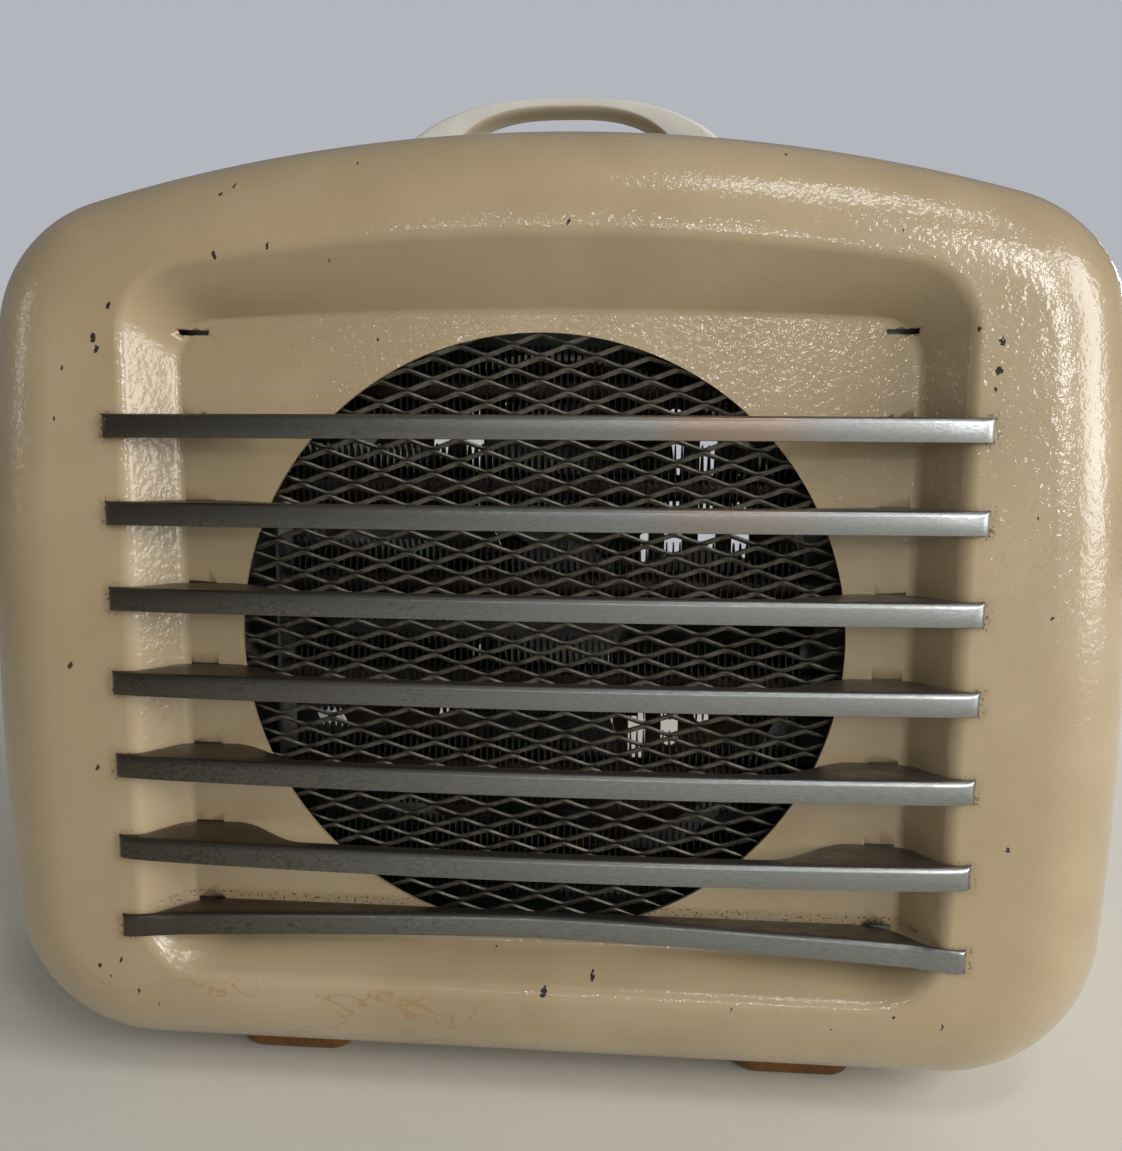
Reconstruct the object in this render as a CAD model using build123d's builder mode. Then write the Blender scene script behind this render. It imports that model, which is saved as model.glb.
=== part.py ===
from build123d import *
import os
from math import asin, cos, hypot, radians, sin, sqrt, tan

# Fan heater with a drawn steel case, about 1950.
# Millimetres. X runs to the right and Z up, seen from the front, and Y runs into the case.
# The origin is on the table, under the middle of the heater.

# Case, seen from the front
case_width = 357.0
case_height = 292.0
axis_above_base = 138.5
widest_above_base = 120.0
side_bow = 1110.0
crown_bow = 527.0
top_corner = 46.0
bottom_corner = 51.0

# Case, seen from the side
case_depth = 176.0
case_gauge = 1.2
front_roll = 32.0
rear_roll = 16.0
rear_flange = 14.0

# Sunk front panel with sloping walls
recess_depth = 14.0
rim_opening_width = 243.2
rim_opening_top = 118.4
rim_opening_bottom = 105.5
rim_opening_arch = 668.0
rim_opening_corner = 20.0
panel_width = 222.0
panel_top = 98.7
panel_bottom = 97.0
panel_arch = 2000.0
panel_corner = 14.0
lip_radius = 6.0
floor_radius = 4.0
outlet_radius = 92.5

# Louvre bars
bar_count = 8
bar_pitch = 25.6
bar_half_length = 127.5
bar_face = 7.0
bar_gauge = 1.2
bar_edge = 0.5
bar_crown_stand = 7.5
bar_end_stand = 2.8
bar_end_curl = 1.4
bar_flange = 5.0
bar_flange_reach = 70.0
bar_foot_start = 96.0
bar_corner_share = 0.8
bar_lip_share = 0.25
edge_tolerance = 0.01
low_bar_depth = 4.6
low_bar_shoulder = 112.0
low_bar_shoulder_depth = 12.9
low_bar_floor_inset = 4.5
low_bar_rim_inset = 1.8
tab_place = 105.0
tab_length = 8.5
tab_bend = 5.0
slot_clearance = 0.15
seat_clearance = 0.3

# Mesh and its seal
seal_thickness = 1.8
seal_width = 5.5
seal_inset = 1.0
mesh_gauge = 1.0
mesh_long_way = 24.0
mesh_short_way = 10.2
mesh_strand = 1.9
mesh_edge = 4.0
mesh_smallest = 12.0

# Heater box
box_width = 224.0
box_height = 200.0
box_depth = 40.0
box_gauge = 1.0
box_flange = 10.0
box_corner = 5.0
stud_radius = 2.0
stud_shoulder = 3.4
stud_spacing_x = 204.0
stud_length = 5.0
box_mouth_clearance = 2.0

# Heating elements
element_count = 3
row_pitch = 31.0
sheath_radius = 4.25
element_from_box = 18.0
fin_height = 28.0
fin_depth = 16.0
fin_gauge = 0.8
fins_per_row = 9
fin_span = 164.0
element_bend_x = 88.0
element_end_x = 118.5
bead_length = 6.0
terminal_length = 11.0
terminal_radius = 1.6
gland_radius = 7.5
gland_length = 5.0
gland_neck = 5.6
support_gauge = 1.0
support_width = 14.0
support_foot = 8.0
support_inset = 2.0

# Thermal cut-out
cutout_x = 40.0
cutout_radius = 12.0
cutout_height = 9.0
cutout_base = 1.5
cutout_flange = 40.0
cutout_width = 14.0
cutout_corner = 6.0
cutout_blade = 8.0
blade_gauge = 0.8
cutout_screw_offset = 16.0

# Fan and its shroud
fan_radius = 88.0
blade_count = 4
fan_gauge = 1.2
blade_pitch_angle = 26.0
blade_camber_radius = 200.0
blade_round = 34.0
blade_place = 54.0
fan_disc_radius = 26.0
fan_disc_gauge = 1.5
fan_start_angle = 80.0
fan_tip_clearance = 6.0
collar_clearance = 3.0
hub_radius = 9.5
hub_length = 16.0
hub_flange = 14.0
hub_flange_thickness = 3.0
hub_screw_radius = 1.5
shaft_nose = 3.0
shaft_tail = 1.0
shaft_chamfer = 0.5
shroud_gauge = 1.2
collar_length = 22.0
bellmouth = 6.0

# Motor
shaft_radius = 3.0
running_clearance = 0.03
fit_clearance = 0.05
stack_width = 62.0
stack_top = 25.0
stack_bottom = 50.0
stack_length = 24.0
rotor_radius = 18.6
air_gap = 0.4
end_ring = 3.0
limb_height = 14.0
window_half_width = 19.0
coil_build = 9.0
coil_flange = 1.5
coil_wall = 1.0
coil_half_length = 18.0
window_height = 13.0
motor_bolt_length = 65.0
bolt_offset = 25.5
bolt_radius = 2.0
casting_bar = 4.0
casting_pillar = 8.0
casting_pillar_radius = 5.5
casting_bar_height = 14.0
boss_radius = 10.0
boss_length = 13.0
boss_bore_clearance = 1.0
bearing_sphere = 7.0
bearing_length = 9.0

# Motor bracket
strap_width = 32.0
strap_gauge = 2.0
strap_leg = 106.0
strap_bend = 4.0
strap_foot_end = 121.0
strap_hole = 11.0
fan_to_strap = 7.0
grommet_radius = 8.0
grommet_neck = 5.0
grommet_flange = 3.0

# Handle
handle_from_rim = 106.0
handle_rise = 35.0
handle_depth = 20.0
handle_thickness = 5.6
handle_top_bow = 200.0
handle_shoulder = 57.0
handle_foot = 76.0
handle_shoulder_round = 40.0
grip_bow = 130.0
grip_shoulder = 36.0
grip_foot = 55.0
grip_round = 20.0
handle_edge = 2.4
handle_root = 138.0
handle_screw_offset = 60.0

# Feet
foot_height = 8.0
foot_width = 40.0
foot_depth = 30.0
foot_corner = 9.0
foot_round = 6.5
foot_spacing_x = 168.0
foot_well_radius = 5.5
foot_well_depth = 4.0

# Rear cover
cover_gauge = 1.2
cover_overlap = 9.0
dish_radius = 104.0
dish_depth = 6.0
dish_slope = 6.0
slot_width = 8.0
slot_pitch = 15.5
slot_columns = 11
slot_bridge = 12.0
slot_field_radius = 92.0
cover_screw_low = -80.0
cover_screw_high = 70.0
cover_screw_bow = 1.0

# Switch and inlet on the rear cover
switch_offset_x = 118.0
switch_drop = 80.0
switch_radius = 19.0
switch_terminals = 5
switch_terminal_radius = 13.3
switch_nut_radius = 8.0
switch_nut_height = 2.5
terminal_blade = 6.0
switch_depth = 24.0
spindle_radius = 3.0
spindle_depth = 12.0
bushing_radius = 5.0
bushing_length = 6.0
knob_radius = 17.0
knob_depth = 16.0
knob_gap = 1.0
knob_skirt = 7.0
knob_grip = 9.0
knob_grip_length = 30.6
knob_grip_corner = 3.0
knob_edge = 1.5
knob_cavity_radius = 9.5
knob_cavity_depth = 5.0
knob_spindle_depth = 12.5
inlet_offset_x = 112.0
inlet_drop = 84.0
inlet_width = 44.0
inlet_height = 24.0
inlet_depth = 24.0
inlet_wall = 3.0
inlet_ear = 9.0
inlet_rim = 3.0
inlet_screw_offset = 26.5
inlet_flange_thickness = 3.0
pin_radius = 3.0
pin_root_radius = 2.0
pin_spacing = 19.0
pin_length = 17.0
pin_chamfer = 0.75
pin_tail = 6.0

# Screws
screw_radius = 2.0
screw_head_radius = 4.0
screw_head_height = 2.4
slot_share = 0.25
screw_length = 8.0
small_screw_radius = 1.5
small_screw_length = 6.0
foot_screw_length = 10.0
nut_height = 3.0
nut_radius = 4.0
handle_screw_radius = 2.5
handle_screw_length = 12.0

# Depths, from the front to the back
overall_depth = bar_crown_stand + case_depth + cover_gauge + knob_gap + knob_depth
rim_y = -overall_depth / 2 + bar_crown_stand
panel_y = rim_y + recess_depth
rear_y = rim_y + case_depth
seal_y = panel_y + case_gauge
mesh_y = seal_y + seal_thickness
box_y = mesh_y + mesh_gauge
shroud_y = box_y + box_depth
element_y = box_y + element_from_box
blade_half_depth = blade_round * tan(radians(blade_pitch_angle))
fan_y = shroud_y + blade_half_depth + fan_tip_clearance
strap_y = fan_y + blade_half_depth + fan_to_strap
casting_y = strap_y + strap_gauge + grommet_flange
stack_y = casting_y + casting_bar + casting_pillar
rear_casting_y = stack_y + stack_length + casting_pillar
front_boss_y = casting_y + casting_bar - boss_length
front_bearing_y = front_boss_y + boss_length / 2
rear_boss_y = rear_casting_y
rear_bearing_y = rear_boss_y + boss_length / 2

# Heights
axis_height = foot_height + axis_above_base
base_height = foot_height
crown_height = case_height - axis_above_base
slot_heights = [bar_pitch * (bar_count - 1) / 2 + bar_face / 2 - bar_gauge / 2 - bar_pitch * k
                for k in range(bar_count)]
stud_heights = [(slot_heights[0] + slot_heights[1]) / 2, (slot_heights[-2] + slot_heights[-1]) / 2]
row_heights = [row_pitch * (element_count - 0.5 - k) for k in range(2 * element_count)]

# Places shared by several pieces
stud_places = [(side * stud_spacing_x / 2, height) for side in (-1, 1) for height in stud_heights]
handle_y = rim_y + handle_from_rim
handle_top = crown_height + handle_rise
foot_front_y = rim_y + front_roll + foot_depth / 2
foot_rear_y = rear_y - rear_roll - foot_depth / 2
foot_places = [(side * foot_spacing_x / 2, y) for y in (foot_front_y, foot_rear_y) for side in (-1, 1)]
cover_inset = rear_roll + rear_flange - cover_overlap
screw_inset = cover_inset + cover_overlap / 2
cover_screw_places = [(side * (case_width / 2 - screw_inset - cover_screw_bow), height)
                      for side in (-1, 1) for height in (cover_screw_low, cover_screw_high)]
cover_screw_places += [(0, crown_height - screw_inset), (0, screw_inset - axis_above_base)]
box_flange_places = [(side_x * (box_width + box_flange) / 2, side_z * box_height / 3)
                     for side_x in (-1, 1) for side_z in (-1, 1)]
strap_screw_places = [(side * (box_width + box_flange) / 2, step * strap_width / 4)
                      for side in (-1, 1) for step in (-1, 1)]
bolt_places = [(-bolt_offset, 0), (bolt_offset, 0)]
switch_place = (switch_offset_x, -switch_drop)
inlet_place = (-inlet_offset_x, -inlet_drop)
inlet_screw_places = [(side * inlet_screw_offset - inlet_offset_x, -inlet_drop) for side in (-1, 1)]
cutout_screw_places = [(cutout_x + side * cutout_screw_offset, element_y) for side in (-1, 1)]
crown_angle = asin(handle_screw_offset / crown_bow)
crown_reach = crown_bow - case_gauge
crown_seats = [Plane(origin=(side * crown_reach * sin(crown_angle), handle_y,
                             axis_height + crown_height - crown_bow + crown_reach * cos(crown_angle)),
                     z_dir=(-side * sin(crown_angle), 0, -cos(crown_angle))) for side in (-1, 1)]

os.makedirs("parts", exist_ok=True)


def facing(y):
    """A plane at depth y that looks to the front, with its origin on the outlet's axis."""
    return Plane(origin=(0, y, axis_height), x_dir=(1, 0, 0), z_dir=(0, -1, 0))


def case_outline(inset):
    """Two bowed sides, an arched crown and a straight base, with rounded corners."""
    side_centre = case_width / 2 - side_bow
    side_height = widest_above_base - axis_above_base
    with Locations((side_centre, side_height)):
        Circle(side_bow - inset)
    with Locations((-side_centre, side_height)):
        Circle(side_bow - inset, mode=Mode.INTERSECT)
    with Locations((0, crown_height - crown_bow)):
        Circle(crown_bow - inset, mode=Mode.INTERSECT)
    with Locations((0, inset - axis_above_base)):
        Rectangle(case_width, case_height, align=(Align.CENTER, Align.MIN), mode=Mode.INTERSECT)
    fillet(vertices().group_by(Axis.Y)[-1], top_corner - inset)
    fillet(vertices().group_by(Axis.Y)[0], bottom_corner - inset)


def arched_rectangle(width, top, bottom, arch, corner):
    """A rectangle with an arched top edge and rounded corners."""
    with Locations((0, top - arch)):
        Circle(arch)
    with Locations((0, -bottom)):
        Rectangle(width, top + bottom, align=(Align.CENTER, Align.MIN), mode=Mode.INTERSECT)
    fillet(vertices(), corner)


def case_form(inset):
    """The outside of the case, or its inside when it is inset by the sheet's gauge."""
    with BuildPart() as form:
        with BuildSketch(facing(rim_y + inset)):
            case_outline(inset)
        extrude(amount=-(case_depth - 2 * inset))
        fillet(form.faces().sort_by(Axis.Y)[0].edges(), front_roll - inset)
        fillet(form.faces().sort_by(Axis.Y)[-1].edges(), rear_roll - inset)
        with BuildSketch(facing(rim_y)):
            arched_rectangle(rim_opening_width + 2 * inset, rim_opening_top + inset,
                             rim_opening_bottom + inset, rim_opening_arch + inset,
                             rim_opening_corner + inset)
        with BuildSketch(facing(panel_y + inset)):
            arched_rectangle(panel_width + 2 * inset, panel_top + inset, panel_bottom + inset,
                             panel_arch + inset, panel_corner + inset)
        loft(ruled=True, mode=Mode.SUBTRACT)
        floor = form.faces().filter_by(Axis.Y).sort_by(Axis.Y)[1]
        fillet(floor.outer_wire().edges(), floor_radius + inset)
        rim = form.faces().filter_by(Axis.Y).sort_by(Axis.Y)[0]
        fillet(rim.inner_wires()[0].edges(), lip_radius - inset)
    return form.part


def save(piece, name):
    """Labels a finished piece and writes its file."""
    piece.part.label = name
    export_step(piece.part, f"parts/{name}.step")
    print(name, len(piece.part.solids()), round(piece.part.volume, 1))


# Case: the drawn steel shell with its outlet, tab slots, weld studs and screw holes
case_body = case_form(0)
with BuildPart() as case_shell:
    add(case_body)
    add(case_form(case_gauge), mode=Mode.SUBTRACT)
    with BuildSketch(facing(rear_y)):
        case_outline(rear_roll + rear_flange)
    extrude(amount=2 * case_gauge, both=True, mode=Mode.SUBTRACT)
    with BuildSketch(facing(panel_y + case_gauge)):
        with Locations(*stud_places):
            Circle(stud_shoulder)
    extrude(amount=-(box_y - panel_y - case_gauge))
    with BuildSketch(facing(box_y)):
        with Locations(*stud_places):
            Circle(stud_radius)
    extrude(amount=-(box_gauge + stud_length))
    with BuildSketch(facing(panel_y)):
        Circle(outlet_radius)
        with Locations(*[(side * tab_place, height) for side in (-1, 1) for height in slot_heights]):
            Rectangle(tab_length + 2 * slot_clearance, bar_gauge + 2 * slot_clearance)
    extrude(amount=2 * case_gauge, both=True, mode=Mode.SUBTRACT)
    with BuildSketch(facing(rear_y)):
        with Locations(*cover_screw_places):
            Circle(screw_radius + fit_clearance)
    extrude(amount=2 * case_gauge, both=True, mode=Mode.SUBTRACT)
    with BuildSketch(Plane.XY.offset(base_height)):
        with Locations(*foot_places):
            Circle(screw_radius + fit_clearance)
    extrude(amount=2 * case_gauge, mode=Mode.SUBTRACT)
    for plane in crown_seats:
        with BuildSketch(plane):
            Circle(handle_screw_radius + fit_clearance)
        extrude(amount=2 * case_gauge, both=True, mode=Mode.SUBTRACT)
save(case_shell, "case_shell")


# Louvre bars: pressed aluminium angles that bow out in front of the outlet.
# Their flange deepens near each end into a foot that stands on the sunk panel.
bar_sag = bar_crown_stand - bar_end_stand
bar_bow = (bar_half_length ** 2 + bar_sag ** 2) / (2 * bar_sag)
low_sag = low_bar_shoulder_depth - low_bar_depth
low_bow = (low_bar_shoulder ** 2 + low_sag ** 2) / (2 * low_sag)
wall_run = (rim_opening_width - panel_width) / 2
wall_length = hypot(wall_run, recess_depth)


def bar_front(x):
    """Depth of a bowed bar's front face."""
    return rim_y - bar_crown_stand + bar_bow - sqrt(bar_bow ** 2 - x ** 2)


def bar_back(x):
    """Depth of the flange's back edge between the feet."""
    radius = bar_bow - bar_flange
    return rim_y - bar_crown_stand + bar_bow - sqrt(radius ** 2 - x ** 2)


def low_bar_front(x):
    """Depth of the lowest bar's front face, which is bent in against the panel."""
    return panel_y - low_bar_depth - low_bow + sqrt(low_bow ** 2 - x ** 2)


def bar_plan(low):
    """A bar's outline from above: its front face, its ends on the rim and its feet on the panel."""
    seat_x = panel_width / 2 - seat_clearance - (low_bar_floor_inset if low else 0)
    rim_x = rim_opening_width / 2 - seat_clearance - (low_bar_rim_inset if low else 0)
    corner = floor_radius * bar_corner_share
    lip = lip_radius * bar_lip_share
    front_corner = (bar_half_length, rim_y - bar_end_stand)
    with BuildSketch(Plane.XY) as plan:
        with BuildLine():
            if low:
                front = ThreePointArc((0, low_bar_front(0)),
                                      (low_bar_shoulder / 2, low_bar_front(low_bar_shoulder / 2)),
                                      (low_bar_shoulder, low_bar_front(low_bar_shoulder)))
                Line(front @ 1, front_corner)
            else:
                front = ThreePointArc((0, bar_front(0)),
                                      (bar_half_length / 2, bar_front(bar_half_length / 2)),
                                      front_corner)
            seat = Polyline(front_corner, (bar_half_length, rim_y - seat_clearance),
                            (rim_x + lip, rim_y - seat_clearance),
                            (rim_x - lip * wall_run / wall_length,
                             rim_y - seat_clearance + lip * recess_depth / wall_length),
                            (seat_x + corner * wall_run / wall_length,
                             panel_y - seat_clearance - corner * recess_depth / wall_length),
                            (seat_x - corner, panel_y - seat_clearance))
            if low:
                Line(seat @ 1, (0, panel_y - seat_clearance))
            else:
                foot = Line(seat @ 1, (bar_foot_start, panel_y - seat_clearance))
                reach = (bar_flange_reach, bar_back(bar_flange_reach))
                lead = (bar_foot_start - bar_flange_reach) / 2
                Bezier(foot @ 1, (bar_foot_start - lead, panel_y - seat_clearance),
                       (bar_flange_reach + lead, bar_back(bar_flange_reach + lead)), reach)
                ThreePointArc(reach, (bar_flange_reach / 2, bar_back(bar_flange_reach / 2)),
                              (0, bar_back(0)))
            mirror(about=Plane.YZ)
        make_face()
        ends = [plan.vertices().group_by(Axis.X)[side].sort_by(Axis.Y)[0] for side in (0, -1)]
        fillet(ends, bar_end_curl)
    return plan.sketch


def louvre_bar(height, low):
    """One bar: the flange, the face turned down from it, the end walls and the bent tabs."""
    plan = bar_plan(low)
    top = axis_height + height + bar_gauge / 2
    front_line = low_bar_front if low else bar_front
    with BuildPart() as bar:
        with BuildSketch(Plane.XY.offset(top)):
            add(plan)
        extrude(amount=-bar_gauge)
        with BuildSketch(Plane.XY.offset(top)):
            add(plan)
            add(plan.moved(Location((0, bar_gauge, 0))), mode=Mode.SUBTRACT)
        extrude(amount=-bar_face)
        with BuildSketch(Plane.XY.offset(top)):
            add(plan)
            Rectangle(2 * (bar_half_length - bar_gauge), case_depth, mode=Mode.SUBTRACT)
        extrude(amount=-bar_face)
        rims = [edge for edge in bar.edges().filter_by(Axis.Z, reverse=True)
                if abs((edge @ 0.5).Y - front_line((edge @ 0.5).X)) < edge_tolerance
                and edge.length > bar_half_length / 2]
        chamfer(rims, bar_edge)
        tab_end = panel_y + case_gauge + fit_clearance
        with BuildSketch(Plane.XY.offset(top)):
            with Locations((-tab_place, panel_y), (tab_place, panel_y)):
                Rectangle(tab_length, 2 * (tab_end + bar_gauge - panel_y))
        extrude(amount=-bar_gauge)
        with BuildSketch(Plane.XY.offset(top)):
            with Locations((-tab_place, tab_end), (tab_place, tab_end)):
                Rectangle(tab_length, bar_gauge, align=(Align.CENTER, Align.MIN))
        extrude(amount=-tab_bend)
    return bar


for number, height in enumerate(slot_heights[1:], start=1):
    save(louvre_bar(height, low=number == bar_count - 1), f"louvre_bar_{number}")


# Felt seal and expanded mesh, clamped between the case and the heater box
mesh_radius = outlet_radius + seal_inset + seal_width

with BuildPart() as outlet_seal:
    with BuildSketch(facing(seal_y)):
        Circle(mesh_radius)
        Circle(outlet_radius + seal_inset, mode=Mode.SUBTRACT)
    extrude(amount=-seal_thickness)
save(outlet_seal, "outlet_seal")


def mesh_openings():
    """The mesh's diamonds: staggered rows, cut off by the round edge, without slivers."""
    half_long = (mesh_long_way - mesh_strand) / 2
    half_short = (mesh_short_way - mesh_strand) / 2
    columns = int(mesh_radius / mesh_long_way) + 2
    rows = int(2 * mesh_radius / mesh_short_way) + 2
    places = [(mesh_long_way * (column + row % 2 / 2), mesh_short_way / 2 * row)
              for column in range(-columns, columns) for row in range(-rows, rows)]
    open_radius = mesh_radius - mesh_edge
    reachable = [place for place in places if hypot(*place) < open_radius + half_short]
    with BuildSketch() as diamonds:
        with Locations(*reachable):
            Polygon((half_long, 0), (0, half_short), (-half_long, 0), (0, -half_short))
        Circle(open_radius, mode=Mode.INTERSECT)
    return [face for face in diamonds.faces() if face.area > mesh_smallest]


with BuildPart() as outlet_mesh:
    with BuildSketch(facing(mesh_y)):
        Circle(mesh_radius)
        add(mesh_openings(), mode=Mode.SUBTRACT)
    extrude(amount=-mesh_gauge)
save(outlet_mesh, "outlet_mesh")


# Heater box: a sheet tray behind the outlet, open to the fan
element_rows = [(element_y, axis_height + height) for height in row_heights]
box_top = axis_height + box_height / 2

with BuildPart() as heater_box:
    with BuildSketch(facing(box_y)):
        RectangleRounded(box_width, box_height, box_corner)
    extrude(amount=-box_depth)
    with BuildSketch(facing(box_y + box_gauge)):
        RectangleRounded(box_width - 2 * box_gauge, box_height - 2 * box_gauge, box_corner - box_gauge)
    extrude(amount=-box_depth, mode=Mode.SUBTRACT)
    with BuildSketch(facing(shroud_y)):
        RectangleRounded(box_width + 2 * box_flange, box_height + 2 * box_flange, box_corner)
        RectangleRounded(box_width - 2 * box_gauge, box_height - 2 * box_gauge, box_corner - box_gauge,
                         mode=Mode.SUBTRACT)
        with Locations(*box_flange_places, *strap_screw_places):
            Circle(screw_radius + fit_clearance, mode=Mode.SUBTRACT)
    extrude(amount=box_gauge)
    with BuildSketch(facing(box_y)):
        Circle(outlet_radius + box_mouth_clearance)
        with Locations(*stud_places):
            Circle(stud_radius + fit_clearance)
    extrude(amount=-2 * box_gauge, mode=Mode.SUBTRACT)
    with BuildSketch(Plane.YZ.offset(box_width / 2)):
        with Locations(*element_rows):
            Circle(gland_neck + fit_clearance)
    extrude(amount=-2 * box_gauge, mode=Mode.SUBTRACT)
    with BuildSketch(Plane.XY.offset(box_top)):
        with Locations(*cutout_screw_places):
            Circle(small_screw_radius + fit_clearance)
    extrude(amount=-2 * box_gauge, mode=Mode.SUBTRACT)
save(heater_box, "heater_box")


def hex_nut(bore, across_corners, height):
    """A six-sided nut that stands on the XY plane."""
    with BuildPart() as nut:
        with BuildSketch():
            RegularPolygon(across_corners, 6)
            Circle(bore + fit_clearance, mode=Mode.SUBTRACT)
        extrude(amount=height)
    return nut.part


def headed_screw(radius, length, head_radius, head_height, hexagon=False):
    """A screw whose head stands on the XY plane and whose shank goes down: slotted, or with a hexagon."""
    with BuildPart() as screw:
        with BuildSketch():
            if hexagon:
                RegularPolygon(head_radius, 6)
            else:
                Circle(head_radius)
                Rectangle(2 * head_radius, slot_share * head_radius, mode=Mode.SUBTRACT)
        extrude(amount=head_height)
        if not hexagon:
            with BuildSketch():
                Circle(head_radius)
            extrude(amount=head_height / 2)
        with BuildSketch():
            Circle(radius)
        extrude(amount=-length)
    return screw.part


def copies(piece, planes):
    """Separate copies of a fastener, one on each plane."""
    with BuildPart() as group:
        for plane in planes:
            add(piece.moved(plane.location))
    return group


def front_seat(place, y):
    """A seat that looks to the front, at a place measured from the outlet's axis."""
    return Plane(origin=(place[0], y, axis_height + place[1]), x_dir=(1, 0, 0), z_dir=(0, -1, 0))


def rear_seat(place, y):
    """A seat that looks to the back, at a place measured from the outlet's axis."""
    return Plane(origin=(place[0], y, axis_height + place[1]), x_dir=(1, 0, 0), z_dir=(0, 1, 0))


nut = hex_nut(stud_radius, nut_radius, nut_height)
save(copies(nut, [rear_seat(place, box_y + box_gauge) for place in stud_places]), "box_nuts")


# Heating elements: three finned hairpins through the right wall of the box
fin_places = [fin_span * (k / (fins_per_row - 1) - 0.5) for k in range(fins_per_row)]


def heating_element(upper, lower):
    """A round sheath bent back on itself, with plate fins along both legs."""
    with BuildPart() as element:
        with BuildLine(facing(element_y)) as route:
            leg = Line((element_end_x, upper), (-element_bend_x, upper))
            bend = ThreePointArc(leg @ 1, (-element_bend_x - row_pitch / 2, (upper + lower) / 2),
                                 (-element_bend_x, lower))
            Line(bend @ 1, (element_end_x, lower))
        with BuildSketch(Plane(origin=route.line @ 0, z_dir=route.line % 0)):
            Circle(sheath_radius)
        sweep(path=route.line)
        with BuildSketch(*[Plane.YZ.offset(x) for x in fin_places]):
            with Locations((element_y, axis_height + upper), (element_y, axis_height + lower)):
                Rectangle(fin_depth, fin_height)
        extrude(amount=fin_gauge)
    return element


for number in range(element_count):
    upper, lower = row_heights[2 * number:2 * number + 2]
    save(heating_element(upper, lower), f"heating_element_{number + 1}")

with BuildPart() as element_support:
    with BuildSketch(Plane.YZ.offset(-element_bend_x + support_inset)):
        with Locations((element_y, axis_height)):
            Rectangle(support_width, box_height - 2 * box_gauge)
        with Locations(*element_rows):
            Circle(sheath_radius + fit_clearance, mode=Mode.SUBTRACT)
    extrude(amount=-support_gauge)
    for side in (-1, 1):
        with Locations((-element_bend_x + support_inset, element_y,
                        axis_height + side * (box_height / 2 - box_gauge - support_gauge / 2))):
            Box(support_foot, support_width, support_gauge, align=(Align.MAX, Align.CENTER, Align.CENTER))
save(element_support, "element_support")

wall_x = box_width / 2
with BuildPart() as element_glands:
    with BuildSketch(Plane.YZ.offset(wall_x)):
        with Locations(*element_rows):
            Circle(gland_radius)
    extrude(amount=gland_length)
    with BuildSketch(Plane.YZ.offset(wall_x)):
        with Locations(*element_rows):
            Circle(gland_neck)
    extrude(amount=-2 * box_gauge)
    with BuildSketch(Plane.YZ.offset(wall_x)):
        with Locations(*element_rows):
            Circle(sheath_radius + fit_clearance)
    extrude(amount=gland_length + box_gauge, both=True, mode=Mode.SUBTRACT)
save(element_glands, "element_glands")

with BuildPart() as element_terminals:
    with BuildSketch(Plane.YZ.offset(element_end_x)):
        with Locations(*element_rows):
            Circle(terminal_radius)
    extrude(amount=terminal_length)
save(element_terminals, "element_terminals")

with BuildPart() as element_beads:
    with BuildSketch(Plane.YZ.offset(element_end_x)):
        with Locations(*element_rows):
            Circle(sheath_radius)
            Circle(terminal_radius + fit_clearance, mode=Mode.SUBTRACT)
    extrude(amount=bead_length)
save(element_beads, "element_beads")

# Thermal cut-out on the roof of the box
with BuildPart() as thermal_cutout:
    with BuildSketch(Plane.XY.offset(box_top)):
        with Locations((cutout_x, element_y)):
            RectangleRounded(cutout_flange, cutout_width, cutout_corner)
        with Locations(*cutout_screw_places):
            Circle(small_screw_radius + fit_clearance, mode=Mode.SUBTRACT)
    extrude(amount=cutout_base)
    with BuildSketch(Plane.XY.offset(box_top + cutout_base)):
        with Locations((cutout_x, element_y)):
            Circle(cutout_radius)
    extrude(amount=cutout_height)
    with BuildSketch(Plane.XY.offset(box_top + cutout_base + cutout_height)):
        with Locations((cutout_x - cutout_radius / 2, element_y), (cutout_x + cutout_radius / 2, element_y)):
            Rectangle(blade_gauge, cutout_blade)
    extrude(amount=cutout_blade)
save(thermal_cutout, "thermal_cutout")

small_screw = headed_screw(small_screw_radius, small_screw_length, 2 * small_screw_radius,
                           small_screw_radius)
save(copies(small_screw, [Plane(origin=(*place, box_top + cutout_base)) for place in cutout_screw_places]),
     "cutout_screws")


# Fan shroud: a plate that closes the box, with a collar round the fan
fan_axis = Axis((0, 0, axis_height), (0, 1, 0))
across = Plane.XY.offset(axis_height)
shroud_back_y = shroud_y + shroud_gauge
collar_radius = fan_radius + collar_clearance

with BuildPart() as fan_shroud:
    with BuildSketch(facing(shroud_y)):
        RectangleRounded(box_width + 2 * box_flange, box_height + 2 * box_flange, box_corner)
        Circle(collar_radius, mode=Mode.SUBTRACT)
        with Locations(*box_flange_places, *strap_screw_places):
            Circle(screw_radius + fit_clearance, mode=Mode.SUBTRACT)
    extrude(amount=-shroud_gauge)
    with BuildSketch(across):
        with BuildLine():
            middle_radius = collar_radius + shroud_gauge / 2
            mouth_y = shroud_y + collar_length
            Polyline((middle_radius, shroud_y), (middle_radius, mouth_y),
                     (middle_radius + bellmouth, mouth_y + bellmouth))
        trace(line_width=shroud_gauge)
    revolve(axis=fan_axis)
save(fan_shroud, "fan_shroud")

plate_screw = headed_screw(screw_radius, screw_length, screw_head_radius, screw_head_height, hexagon=True)
save(copies(plate_screw, [rear_seat(place, shroud_back_y) for place in box_flange_places]),
     "shroud_screws")


# Fan: four pressed paddles on a disc, riveted to a hub
blade_cut = 3 * blade_round

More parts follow.
